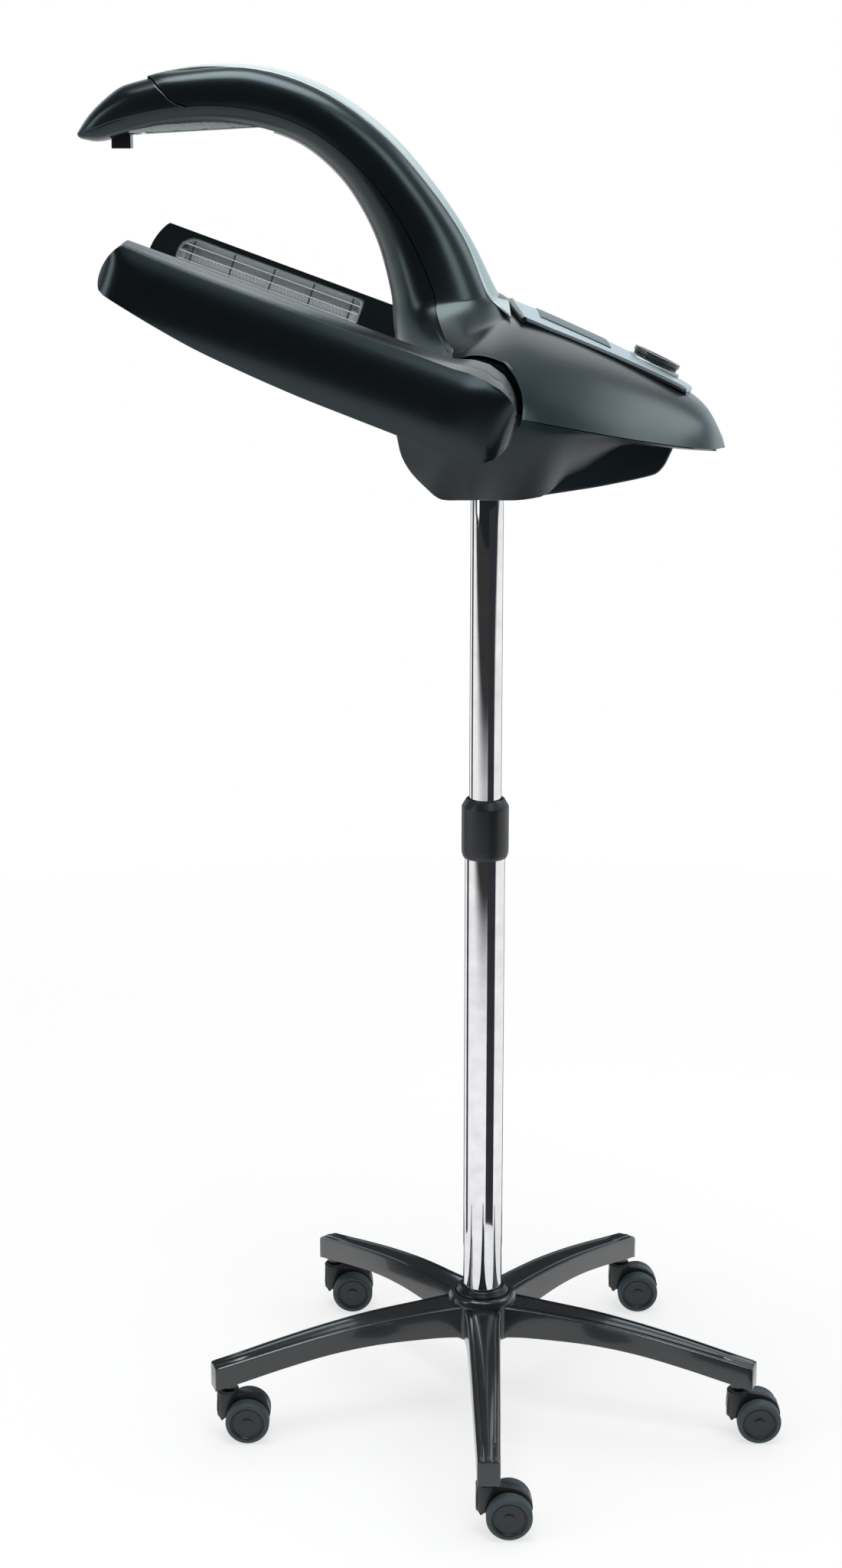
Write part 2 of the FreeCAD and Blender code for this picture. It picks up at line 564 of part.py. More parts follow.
shaft_hole = on_panel(Part.makeCylinder(KNOB_SHAFT_D / 2 + GAP, 60, V(0, 0, -30)))
window_prism = Part.makeBox(WINDOW_REAR - WINDOW_FRONT, 2 * WINDOW_HALF_WIDTH, 300,
                            V(WINDOW_FRONT, -WINDOW_HALF_WIDTH, 1100))
panel_block = panel_solid(0)
panel_under = panel_solid(-PANEL_THICKNESS)
panel = panel_block.cut(panel_under).cut(window_prism)
window = panel_solid(WINDOW_RISE).common(window_prism).cut(panel_under)
bezel = on_panel(tube(KNOB_BEZEL_D, KNOB_SHAFT_D + 2 * GAP, -6, 1)).cut(panel_block)
knob_body = Part.makeCylinder(KNOB_D / 2, KNOB_HEIGHT - KNOB_LIFT, V(0, 0, KNOB_LIFT))
knob_body = knob_body.makeFillet(1.5, [knob_body.Edges[0]])
knob_dish = Part.makeCylinder(KNOB_D / 2 - 6, KNOB_DISH, V(0, 0, KNOB_HEIGHT - KNOB_DISH))
knob_shaft = Part.makeCylinder(KNOB_SHAFT_D / 2, KNOB_LIFT - ENCODER_TOP + 6, V(0, 0, ENCODER_TOP - 6))
knob = on_panel(knob_body.cut(knob_dish).fuse(knob_shaft))
encoder = Part.makeBox(16, 16, 8, V(-8, -8, ENCODER_TOP - 8))
encoder = encoder.fuse(tube(9, 0, ENCODER_TOP, ENCODER_TOP + 4))
encoder = encoder.cut(Part.makeCylinder(KNOB_SHAFT_D / 2 + RUNNING, 30, V(0, 0, ENCODER_TOP - 6 - GAP)))
encoder = on_panel(encoder)
board_top = ENCODER_TOP - 8
board = on_panel(Part.makeBox(140, 110, 1.6, V(-118, -55, board_top - 1.6)))
posts = [on_panel(Part.makeCylinder(3.5, 40, V(x, y, board_top))).common(panel_block)
         for x in (-48, 14) for y in (-46, 46)]
panel = panel.cut(shaft_hole).fuse(posts)
upper_shell = upper_shell.cut(panel_block)

# ------------------------------------------------------------------ frame inside the head
lug_y = ARM_INNER_Y - 27.0
neck_y = ARM_INNER_Y - ARM_SIDE_GAP - ARM_GROOVE_DEPTH - SHELL_WALL - 3.0
plate_outline = [(-54, -lug_y), (6, -lug_y), (6, -neck_y), (60, -150), (105, -100), (105, 100), (60, 150),
                 (6, neck_y), (6, lug_y), (-54, lug_y), (-75, 117), (-75, -117)]
plate = Part.Face(polygon([(x, y, CHASSIS_Z) for x, y in plate_outline])).extrude(V(0, 0, CHASSIS_THICKNESS))
lug_drop = CHASSIS_Z - 1174.0
for side in (-1, 1):
    y = lug_y - CHASSIS_THICKNESS if side > 0 else -lug_y
    plate = plate.fuse(Part.makeBox(48, CHASSIS_THICKNESS, lug_drop, V(PIVOT_X - 24, y, CHASSIS_Z - lug_drop)))
pivot_bore = Part.makeCylinder(PIVOT_SHAFT_D / 2, 500, V(PIVOT_X, -250, PIVOT_Z), ACROSS)
BOLT_PCD = 72.0
SOCKET_FLANGE_D = 88.0
M6 = 6.0
bolt_spots = [(BOLT_PCD / 2 * math.cos(math.radians(a)), BOLT_PCD / 2 * math.sin(math.radians(a)))
              for a in (45, 135, 225, 315)]
flange_thickness = 8.0
socket = tube(SOCKET_D, 0, HOUSING_BOTTOM + SHELL_WALL + 1, CHASSIS_Z)
socket = socket.fuse(tube(SOCKET_FLANGE_D, 0, CHASSIS_Z - flange_thickness, CHASSIS_Z))
socket = socket.cut(tube(UPPER_TUBE_D + 2 * RUNNING, 0, HOUSING_BOTTOM, UPPER_TUBE_TOP + 2))
bolts = []
for x, y in bolt_spots:
    hole = Part.makeCylinder(M6 / 2, 60, V(x, y, CHASSIS_Z - 30))
    socket = socket.cut(hole)
    plate = plate.cut(hole)
    grip = flange_thickness + CHASSIS_THICKNESS
    stem = Part.makeCylinder(M6 / 2, grip, V(x, y, CHASSIS_Z - flange_thickness))
    head = Part.makeCylinder(5, 5, V(x, y, CHASSIS_Z + CHASSIS_THICKNESS))
    bolts.append(stem.fuse(head))
plate = plate.cut(pivot_bore)
upper_shell = upper_shell.cut(pivot_bore)
under_shell = under_shell.cut(pivot_bore)

spine_wires = []
for ox, oz, ix, iz, half, seam in ARC_STATIONS[2:-1]:
    rise = V(ox - ix, 0, oz - iz)
    middle = V(mix(ix, ox, 0.76), 0, mix(iz, oz, 0.76))
    rise.normalize()
    reach = ACROSS * 17
    thick = rise * 4
    spine_wires.append(polygon([tuple(middle - reach - thick), tuple(middle + reach - thick),
                                tuple(middle + reach + thick), tuple(middle - reach + thick)]))
spine_foot = CHASSIS_Z + CHASSIS_THICKNESS
spine_wires.append(polygon([(-8, -17, spine_foot), (-8, 17, spine_foot), (4, 17, spine_foot),
                            (4, -17, spine_foot)]))
spine = Part.makeLoft(spine_wires, True, False)


# ------------------------------------------------------------------ infrared lamps
def lamp_set(length, width, depth):
    """Reflector, quartz tube, end holders, wire guard and the window they need, looking along +Z."""
    skin = LAMP_SHEET
    lip = LAMP_LIP

    def trough(wall):
        w = width / 2 - wall
        outline = polygon([(wall, -w, -lip), (wall, w, -lip), (wall, 9 - wall, wall - depth),
                           (wall, wall - 9, wall - depth)])
        return Part.Face(outline).extrude(V(length - 2 * wall, 0, 0))

    middle = -depth * 0.52
    reflector = trough(0).cut(trough(skin))
    mouth = Part.Face(polygon([(skin, skin - width / 2, -lip - skin), (skin, width / 2 - skin, -lip - skin),
                               (skin, width / 2 - skin, 0), (skin, skin - width / 2, 0)]))
    reflector = reflector.cut(mouth.extrude(V(length - 2 * skin, 0, 0)))
    lamp = Part.makeCylinder(LAMP_TUBE_D / 2, length - 2 * skin - 8, V(skin + 4, 0, middle), V(1, 0, 0))
    holders = []
    for x in (skin, length - skin - 9):
        block = Part.makeBox(9, 13, middle + 7 + depth - skin, V(x, -6.5, skin - depth))
        holders.append(block.cut(lamp).common(trough(skin).fuse(mouth.extrude(V(length, 0, 0)))))
    bar = GUARD_BAR
    guard = Part.makeBox(length, width, 2, V(0, -width / 2, -2)).cut(
        Part.makeBox(length - 9, width - 9, 6, V(4.5, 4.5 - width / 2, -4)))
    for k in range(1, GUARD_ROWS + 1):
        y = -width / 2 + width * k / (GUARD_ROWS + 1) - bar / 2
        guard = guard.fuse(Part.makeBox(length - 4, bar, bar, V(2, y, -bar)))
    for k in range(GUARD_ROWS + 1):
        x = 6 + (length - 12) * (k + 0.5) / (GUARD_ROWS + 1) - bar / 2
        guard = guard.fuse(Part.makeBox(bar, width - 4, bar, V(x, 2 - width / 2, -bar)))
    window = Part.makeBox(length, width, 60, V(0, -width / 2, -30))
    frame = FreeCAD.Placement(V(-length / 2, 0, 0), FreeCAD.Rotation())
    for shape in [reflector, lamp, guard, window] + holders:
        shape.Placement = frame.multiply(shape.Placement)
    return [reflector], [lamp], holders, [guard], [window]


def place(shape, origin, along, outwards):
    """Turn a lamp piece so that its X runs along and its Z outwards, and move it to origin."""
    side = outwards.cross(along)
    matrix = FreeCAD.Matrix(along.x, side.x, outwards.x, origin.x, along.y, side.y, outwards.y, origin.y,
                            along.z, side.z, outwards.z, origin.z, 0, 0, 0, 1)
    moved = shape.copy()
    moved.Placement = FreeCAD.Placement(matrix).multiply(moved.Placement)
    return moved


TOP_LAMP_LENGTH = 150.0
TOP_LAMP_WIDTH = 58.0
TOP_LAMP_DEPTH = 26.0
TOP_LAMP_FRONT = (-375.0, 1450.2)
TOP_LAMP_SLOPE = 3.2
lamp_along = V(math.cos(math.radians(TOP_LAMP_SLOPE)), 0, math.sin(math.radians(TOP_LAMP_SLOPE)))
lamp_down = V(lamp_along.z, 0, -lamp_along.x)
lamp_at = V(TOP_LAMP_FRONT[0], 0, TOP_LAMP_FRONT[1]) + lamp_along * (TOP_LAMP_LENGTH / 2)
reflectors, lamps, holders, guards, windows = [
    [place(one, lamp_at, lamp_along, lamp_down) for one in group]
    for group in lamp_set(TOP_LAMP_LENGTH, TOP_LAMP_WIDTH, TOP_LAMP_DEPTH)]
under_shell = under_shell.cut(windows[0])
save("top_reflector", *reflectors)
save("top_lamp", *lamps)
save("top_lamp_holders", *holders)
save("top_guard", *guards)

SENSOR_X = -386.0
SENSOR_SIZE = (20.0, 26.0, 14.0)
SENSOR_BOTTOM = 1436.5
sensor = Part.makeBox(SENSOR_SIZE[0], SENSOR_SIZE[1], SENSOR_SIZE[2] + 6,
                      V(SENSOR_X - SENSOR_SIZE[0] / 2, -SENSOR_SIZE[1] / 2, SENSOR_BOTTOM)).cut(arc_outer)
lens_spot = V(SENSOR_X - 2, 0, SENSOR_BOTTOM)
sensor = sensor.cut(Part.makeCylinder(5, 3, lens_spot))
lens = Part.makeCylinder(5, 3, lens_spot)

INLET_X = 132.0
inlet_face = table([(x, z) for x, z in HOUSING_SIDE[5:9]], INLET_X)
inlet = Part.makeBox(20, 27, 24, V(INLET_X - 10, -13.5, inlet_face - 1))
inlet = inlet.cut(Part.makeBox(16, 23, 16, V(INLET_X - 8, -11.5, inlet_face - 2)))
for y in (-7, 0, 7):
    inlet = inlet.fuse(Part.makeBox(4, 2, 15, V(INLET_X - 2, y - 1, inlet_face)))
housing = housing.cut(Part.makeBox(20, 27, 60, V(INLET_X - 10, -13.5, inlet_face - 20)))

# ------------------------------------------------------------------ side arms
# side view of an arm laid level, from its pivot: x towards the tip, z up
ARM_TOP_Z = 38.6
ARM_END = [(ARM_ROOT, ARM_TOP_Z), (33, 39.6), (10, 43), (-11, 43), (-30, 35.8), (-43, 20), (-47.3, 0),
           (-44, -19), (-33, -35.5), (-16, -45), (0, -48), (30, -47.3), (ARM_ROOT, -46.3)]
# its underside as (share of the way from the root to the tip, z), and its tip as (setback, z)
ARM_UNDERSIDE = [(0.319, -43.7), (0.656, -34.6), (0.854, -23), (0.966, -15.8)]
ARM_TIP = [(3.5, -13), (0.5, -5), (0, 4), (2, 18), (6, 30), (13, ARM_TOP_Z)]
ARM_WALL = 2.5
ARM_LAMP_WIDTH = 46.0
ARM_LAMP_DEPTH = 30.0
ARM_LAMP_X = ARM_LAMP_START + ARM_LAMP_LENGTH / 2
ARM_LAMP_Z = 9.5


def inset_loop(points, distance):
    """Move each corner of a closed loop of (a, b) points inwards, with mitred corners."""
    area = sum(p[0] * q[1] - q[0] * p[1] for p, q in zip(points, points[1:] + points[:1]))
    turn = math.copysign(1.0, area)
    moved = []
    for before, here, after in zip(points[-1:] + points[:-1], points, points[1:] + points[:1]):
        normals = []
        for p, q in ((before, here), (here, after)):
            length = math.hypot(q[0] - p[0], q[1] - p[1])
            normals.append((-(q[1] - p[1]) / length * turn, (q[0] - p[0]) / length * turn))
        (ax, ay), (bx, by) = normals
        share = distance / (1 + ax * bx + ay * by)
        moved.append((here[0] + (ax + bx) * share, here[1] + (ay + by) * share))
    return moved


def outline(runs, inset, lift):
    """Closed wire of smooth runs of (a, b) points with straight edges between them."""
    loop = inset_loop([p for run in runs for p in run], inset) if inset else [p for run in runs for p in run]
    edges = []
    start = 0
    for run in runs:
        part = [lift(*p) for p in loop[start:start + len(run)]]
        start += len(run)
        edges.append(spline(part) if len(part) > 2 else Part.makeLine(part[0], part[1]))
        edges.append(Part.makeLine(part[-1], lift(*loop[start % len(loop)])))
    return Part.Wire(edges)


def arm_solid(inset):
    """Closed form of the arm on the +Y side, laid level, pivot at the origin, tip towards -X."""
    y0 = ARM_INNER_Y
    y1 = ARM_OUTER_Y
    body = [(-x, z) for x, z in ARM_END]
    body += [(-mix(ARM_ROOT, ARM_REACH, share), z) for share, z in ARM_UNDERSIDE]
    tip = [(setback - ARM_REACH, z) for setback, z in ARM_TIP]
    side = outline([body, tip], inset, lambda x, z: V(x, 0, z))
    outer_edge = [(y1 - 22, -70), (y1 - 12, -44), (y1 - 3.5, -28), (y1, -10), (y1 - 1, 6), (y1 - 5.5, 22),
                  (y1 - 12, 34), (y1 - 18, 70)]
    section = outline([outer_edge, [(y0, 70), (y0, -70)]], inset, lambda y, z: V(0, y, z))
    tip_x = -ARM_REACH - 1.0
    end_x = ARM_END_R + 1.5
    outer_plan = [(tip_x, y0 + 30), (tip_x + 4, y1 - 15), (tip_x + 22, y1 - 4), (tip_x + 64, y1 - 0.5),
                  (tip_x / 2, y1), (-ARM_ROOT, y1), (0, y1 - 1), (26, y1 - 7), (42, y1 - 20), (end_x, y0 + 16)]
    plan = outline([outer_plan, [(end_x, y0), (tip_x, y0)]], inset, lambda x, y: V(x, y, 0))
    solid = Part.Face(side).extrude(V(0, FAR, 0))
    shaped = Part.Face(section)
    shaped.translate(V(-FAR, 0, 0))
    solid = solid.common(shaped.extrude(V(2 * FAR, 0, 0)))
    flat = Part.Face(plan)
    flat.translate(V(0, 0, -FAR))
    return solid.common(flat.extrude(V(0, 0, 2 * FAR)))


boss_r = PIVOT_SHAFT_D / 2 + 7
boss_end = ARM_INNER_Y + 18.0
arm_shell = arm_solid(0).cut(arm_solid(ARM_WALL))
boss = Part.makeCylinder(boss_r, boss_end - ARM_INNER_Y, V(0, ARM_INNER_Y, 0), ACROSS)
arm_bore = Part.makeCylinder(PIVOT_SHAFT_D / 2 + RUNNING, 60, V(0, ARM_INNER_Y - 5, 0), ACROSS)
arm_half = Part.makeBox(2 * FAR, ARM_SPLIT_Y, 2 * FAR, V(-FAR, 0, -FAR))
lamp_origin = V(-ARM_LAMP_X, ARM_INNER_Y + 1.0, ARM_LAMP_Z)
reflectors, lamps, holders, guards, windows = [
    [place(one, lamp_origin, V(-1, 0, 0), -ACROSS) for one in group]
    for group in lamp_set(ARM_LAMP_LENGTH, ARM_LAMP_WIDTH, ARM_LAMP_DEPTH)]
arm_inner = arm_shell.common(arm_half).fuse(boss).cut(arm_bore).cut(windows[0])
arm_outer = arm_shell.cut(arm_half)
for name, solids in (("arm_inner", [arm_inner]), ("arm_outer", [arm_outer]), ("arm_reflector", reflectors),
                     ("arm_lamp", lamps), ("arm_lamp_holders", holders), ("arm_guard", guards)):
    right = []
    for one in solids:
        one.rotate(V(0, 0, 0), ACROSS, ARM_TILT)
        one.translate(V(PIVOT_X, 0, PIVOT_Z))
        right.append(one)
    save(name + "_right", *right)
    save(name + "_left", *[one.mirror(V(0, 0, 0), ACROSS) for one in right])

pivots = []
washer_start = boss_end + 0.3
shaft_start = lug_y - CHASSIS_THICKNESS - 6


def pivot_disc(radius, start, length, side):
    """Plain cylinder on the pivot axis, from a distance off the middle outwards."""
    return Part.makeCylinder(radius, length, V(PIVOT_X, side * start, PIVOT_Z), ACROSS * side)


for side in (-1, 1):
    shaft = pivot_disc(PIVOT_SHAFT_D / 2, shaft_start, washer_start + 2 - shaft_start, side)
    cap = pivot_disc(boss_r, washer_start + 2, 3, side)
    collar_in = pivot_disc(boss_r, shaft_start, 6, side)
    ring = pivot_disc(boss_r - 1, washer_start, 2, side)
    bore = pivot_disc(PIVOT_SHAFT_D / 2, washer_start, 2, side)
    pivots += [shaft.fuse(cap).fuse(collar_in), ring.cut(bore)]

save("arm_pivots", *pivots)
for name, shape in (("upper_shell", upper_shell), ("under_shell", under_shell), ("nose_cap", nose_cap),
                    ("top_strip", top_strip), ("lower_housing", housing), ("panel_surround", panel),
                    ("display_window", window), ("knob_bezel", bezel), ("control_knob", knob),
                    ("knob_encoder", encoder), ("control_board", board), ("chassis_plate", plate),
                    ("mast_socket", socket), ("arc_spine", spine), ("sensor_box", sensor),
                    ("sensor_lens", lens), ("mains_inlet", inlet)):
    save(name, shape)
save("socket_bolts", *bolts)
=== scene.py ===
import math

import bmesh
import bpy
from mathutils import Matrix, Vector


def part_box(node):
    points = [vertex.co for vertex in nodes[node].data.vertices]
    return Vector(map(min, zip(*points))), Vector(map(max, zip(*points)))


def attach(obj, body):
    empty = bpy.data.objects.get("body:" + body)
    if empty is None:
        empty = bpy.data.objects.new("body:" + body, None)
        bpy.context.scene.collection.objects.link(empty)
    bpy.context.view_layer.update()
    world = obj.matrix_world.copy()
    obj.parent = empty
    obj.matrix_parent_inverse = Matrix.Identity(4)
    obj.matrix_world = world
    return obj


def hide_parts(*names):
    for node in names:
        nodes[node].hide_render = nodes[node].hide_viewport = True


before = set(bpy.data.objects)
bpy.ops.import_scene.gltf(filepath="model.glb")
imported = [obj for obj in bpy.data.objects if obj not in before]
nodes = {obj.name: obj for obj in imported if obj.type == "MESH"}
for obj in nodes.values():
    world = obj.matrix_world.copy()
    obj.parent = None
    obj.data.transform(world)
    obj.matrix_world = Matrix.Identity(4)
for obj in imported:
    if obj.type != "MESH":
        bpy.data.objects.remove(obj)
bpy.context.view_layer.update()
scene = bpy.context.scene
MM = 0.001

# ---------------------------------------------------------------- camera
# A long lens at eye height, a little in front of the lamps' tip and looking down by fourteen degrees.
CAMERA_PLACE = (-0.0719, -2.85, 1.464)
CAMERA_PITCH = 14.12


def put(name, data):
    """A new object in the scene."""
    obj = bpy.data.objects.new(name, data)
    scene.collection.objects.link(obj)
    return obj


camera = put("camera", bpy.data.cameras.new("camera"))
camera.data.lens = 60.47
camera.data.sensor_width = 36.0
camera.location = CAMERA_PLACE
camera.rotation_euler = (math.radians(90 - CAMERA_PITCH), 0, 0)
scene.camera = camera

# ---------------------------------------------------------------- studio
# A white floor and backdrop under a broad overhead light. The room on the camera's side is dim, so that
# black plastic stays black there, and four dark boards give the chrome its upright streaks.
scene.view_settings.view_transform = "Standard"


def feed(tree, socket, value):
    """Give a shader input a link or a constant."""
    if isinstance(value, bpy.types.NodeSocket):
        tree.links.new(value, socket)
    else:
        socket.default_value = value


def node_of(tree, kind, **sockets):
    """A shader node with its inputs given by name, or by _ and their number."""
    node = tree.nodes.new(kind)
    for key, value in sockets.items():
        feed(tree, node.inputs[int(key[1:]) if key[0] == "_" else key.replace("_", " ")], value)
    return node


def sum_of(tree, operation, a, b=0.0, clamp=False):
    """One step of shader arithmetic."""
    node = tree.nodes.new("ShaderNodeMath")
    node.operation = operation
    node.use_clamp = clamp
    for socket, value in zip(node.inputs, (a, b)):
        feed(tree, socket, value)
    return node.outputs[0]


def ramp(tree, value, start, end, first, last, kind="SMOOTHSTEP"):
    """Bring a value between start and end to the range from first to last."""
    node = node_of(tree, "ShaderNodeMapRange", Value=value, From_Min=start, From_Max=end, To_Min=first,
                   To_Max=last)
    node.interpolation_type = kind
    return node.outputs["Result"]


def meshed(name, bm):
    """The mesh of a bmesh, which is freed."""
    mesh = bpy.data.meshes.new(name)
    bm.to_mesh(mesh)
    bm.free()
    return mesh


def emptied(data):
    """The node tree of a material or a world, without its nodes."""
    data.use_nodes = True
    data.node_tree.nodes.clear()
    return data.node_tree


ROOM_DIM = 0.02
ROOM_FILL = 0.55
MIRRORED_TINT = (0.80, 0.94, 1.0, 1.0)
WHITE = (1.0, 1.0, 1.0, 1.0)
world = bpy.data.worlds.new("studio")
scene.world = world
sky = emptied(world)
path = node_of(sky, "ShaderNodeLightPath").outputs
spot = node_of(sky, "ShaderNodeTexCoord").outputs["Generated"]
way = node_of(sky, "ShaderNodeSeparateXYZ", Vector=spot).outputs
up = sum_of(sky, "ADD", sum_of(sky, "MULTIPLY", way["Z"], 0.87), sum_of(sky, "MULTIPLY", way["X"], 0.5))
behind = ramp(sky, way["Y"], -0.25, 0.35, ROOM_DIM, 1.0)
fading = ramp(sky, way["Z"], 0.26, 0.54, 1.0, 0.1)
overhead = ramp(sky, up, 0.35, 0.95, 0.0, 0.6)
mirrored = sum_of(sky, "MAXIMUM", sum_of(sky, "MULTIPLY", behind, fading), overhead)
shown = sum_of(sky, "MAXIMUM", path["Is Camera Ray"], path["Is Transmission Ray"])
plain = sum_of(sky, "MAXIMUM", shown, ROOM_FILL)
level = node_of(sky, "ShaderNodeMix", _0=path["Is Glossy Ray"], _2=plain, _3=mirrored)
cool = sky.nodes.new("ShaderNodeMix")
cool.data_type = "RGBA"
for number, value in ((0, path["Is Glossy Ray"]), (6, WHITE), (7, MIRRORED_TINT)):
    feed(sky, cool.inputs[number], value)
back = node_of(sky, "ShaderNodeBackground", Color=cool.outputs[2], Strength=level.outputs[0])
node_of(sky, "ShaderNodeOutputWorld", Surface=back.outputs[0])

FLOOR_SPAN = 40.0
bm = bmesh.new()
bmesh.ops.create_grid(bm, x_segments=1, y_segments=1, size=FLOOR_SPAN / 2)
floor = put("floor", meshed("floor", bm))
floor_paint = bpy.data.materials.new("floor_paint")
tree = emptied(floor_paint)
path = node_of(tree, "ShaderNodeLightPath").outputs
spot = node_of(tree, "ShaderNodeTexCoord").outputs["Object"]
away = node_of(tree, "ShaderNodeVectorMath", _0=spot)
away.operation = "LENGTH"
whiteness = ramp(tree, away.outputs["Value"], 0.5, 2.4, 0.68, 1.0, "LINEAR")
ahead = node_of(tree, "ShaderNodeSeparateXYZ", Vector=spot).outputs["Y"]
nearness = ramp(tree, ahead, -4.2, -1.0, 0.04, 1.0)
lit = sum_of(tree, "MAXIMUM", path["Is Camera Ray"], nearness)
seen = sum_of(tree, "MAXIMUM", path["Is Camera Ray"], path["Is Glossy Ray"])
glow = node_of(tree, "ShaderNodeEmission", Color=WHITE, Strength=lit)
matt = node_of(tree, "ShaderNodeBsdfDiffuse", Color=(0.86, 0.87, 0.88, 1.0))
blend = node_of(tree, "ShaderNodeMixShader", _0=sum_of(tree, "MULTIPLY", seen, whiteness),
                _1=matt.outputs[0], _2=glow.outputs[0])
node_of(tree, "ShaderNodeOutputMaterial", Surface=blend.outputs[0])
floor.data.materials.append(floor_paint)

# soft boxes: name, size, place, height of the point each faces on the pole's axis, watts
SOFT_BOXES = [("overhead_box", (1.8, 1.1), (-0.15, -0.25, 3.1), 1.0, 46),
              ("right_box", (1.2, 1.0), (2.0, 0.7, 2.6), 1.3, 12),
              ("back_box", (2.4, 1.4), (0.4, 2.2, 2.9), 1.2, 15),
              ("front_box", (0.9, 0.9), (1.15, -1.75, 2.6), 1.35, 10),
              ("side_box", (0.7, 1.8), (-2.6, -1.2, 1.8), 1.0, 14)]
for name, size, place, height, watts in SOFT_BOXES:
    light = bpy.data.lights.new(name, "AREA")
    light.shape = "RECTANGLE"
    light.size, light.size_y = size
    light.energy = watts
    box = put(name, light)
    box.location = place
    box.rotation_euler = (Vector((0, 0, height)) - Vector(place)).to_track_quat("-Z", "Y").to_euler()

BOARD_RADIUS = 0.42
BOARD_TOP = 1.05
dull = bpy.data.materials.new("dull_board")
tree = emptied(dull)
node_of(tree, "ShaderNodeOutputMaterial",
        Surface=node_of(tree, "ShaderNodeEmission", Color=(0.035, 0.035, 0.04, 1.0)).outputs[0])
for number, (first, last) in enumerate(((14, 61), (-121, -103), (-178, -150), (148, 178))):
    bm = bmesh.new()
    turn = math.radians(first)
    foot = bm.verts.new((BOARD_RADIUS * math.sin(turn), -BOARD_RADIUS * math.cos(turn), 0.0))
    head = bm.verts.new(foot.co + Vector((0, 0, BOARD_TOP)))
    edge = bm.edges.new((foot, head))
    bmesh.ops.spin(bm, geom=[foot, head, edge], cent=(0, 0, 0), axis=(0, 0, 1), steps=8,
                   angle=math.radians(last - first))
    board = put("dark_board_%d" % number, meshed("board", bm))
    board.data.materials.append(dull)
    board.visible_camera = board.visible_diffuse = board.visible_shadow = board.visible_transmission = False

# ---------------------------------------------------------------- five-leg base
# One moulding of glossy glass-filled nylon: arched legs with a sunk channel along each top edge, hollow and
# ribbed underneath, that grow out of a round hub. The pole stands in the hub inside a soft black ring.
LEG_COUNT = 5
LEG_REACH = 325.0
CASTOR_PITCH = 307.0
HUB_RADIUS = 40.0
LEG_WALL = 3.0
CHANNEL_DEPTH, HOLLOW_DEPTH, PLAIN_TIP = 1.9, 16.0, 27.0
RIB_SPOTS, RIB_HALF, RIB_FOOT, RIB_HEAD = (90, 140, 190, 240, 285), 1.0, 3.0, 19.0
# distance from the pole, height of the top, height of the underside, half width
LEG_LINE = [(23.8, 127.5, 88, 22.5), (44, 127, 91, 21), (74, 125.5, 92.5, 19), (134, 121.5, 93.5, 17.5),
            (190, 114.5, 89, 16), (245, 105, 79.5, 14.6), (291, 96, 69.5, 13.3),
            (LEG_REACH, 89.5, 62.5, 12.5)]


def flow(stations, at):
    """A smooth reading of a list of equal tuples at a fractional index."""
    last = len(stations) - 1
    k = min(int(at), last - 1)
    t = at - k
    a, b, c, d = (stations[min(max(k + j, 0), last)] for j in (-1, 0, 1, 2))
    return tuple(q + 0.5 * t * (r - p + t * (2 * p - 5 * q + 4 * r - s + t * (3 * (q - r) + s - p)))
                 for p, q, r, s in zip(a, b, c, d))


def between(first, last, count):
    """Evenly spaced values from first to last, count steps apart."""
    return [first + (last - first) * k / count for k in range(count + 1)]


def skin(rows, closed=False):
    """A bmesh sheet whose points are the given rows; closed joins each row's two ends."""
    bm = bmesh.new()
    across = len(rows[0])
    bmesh.ops.create_grid(bm, x_segments=across - 1 + closed, y_segments=len(rows) - 1, size=1.0)
    bm.verts.ensure_lookup_table()
    points = [row + row[:1] if closed else row for row in rows]
    for vert, point in zip(bm.verts, (p for row in points for p in row)):
        vert.co = point
    if closed:
        bmesh.ops.remove_doubles(bm, verts=bm.verts, dist=1e-6)
    return bm


def turned(profile, steps=96):
    """A bmesh turned round Z from a closed loop of (radius, height) points in millimetres."""
    bm = bmesh.new()
    ring = [bm.verts.new((r * MM, 0, z * MM)) for r, z in profile]
    edges = [bm.edges.new((a, b)) for a, b in zip(ring, ring[1:] + ring[:1])]
    bmesh.ops.spin(bm, geom=ring + edges, cent=(0, 0, 0), axis=(0, 0, 1), angle=2 * math.pi, steps=steps,
                   use_merge=True)
    bmesh.ops.remove_doubles(bm, verts=bm.verts, dist=1e-6)
    bmesh.ops.dissolve_degenerate(bm, dist=1e-6, edges=bm.edges)
    bmesh.ops.recalc_face_normals(bm, faces=bm.faces)
    return bm


def move(bm, to=(0, 0, 0), turn=None, verts=None):
    """Turn a bmesh, or some of its vertices, about the origin and then move it by millimetres."""
    verts = bm.verts if verts is None else verts
    if turn is not None:
        bmesh.ops.rotate(bm, verts=verts, cent=(0, 0, 0), matrix=turn)
    bmesh.ops.translate(bm, verts=verts, vec=Vector(to) * MM)
    return bm


def rod(radius, start, end, segments=48):
    """A plain bmesh cylinder between two points in millimetres."""
    bm = bmesh.new()
    start, end = Vector(start), Vector(end)
    bmesh.ops.create_cone(bm, cap_ends=True, segments=segments, radius1=radius * MM, radius2=radius * MM,
                          depth=(end - start).length * MM)
    return move(bm, (start + end) / 2, (end - start).to_track_quat("Z", "Y").to_matrix())


def box_at(low, high):
    """A plain box between two corners in millimetres."""
    bm = bmesh.new()
    bmesh.ops.create_cube(bm, size=1.0)
    low, high = Vector(low), Vector(high)
    bmesh.ops.scale(bm, verts=bm.verts, vec=(high - low) * MM)
    return move(bm, (low + high) / 2)


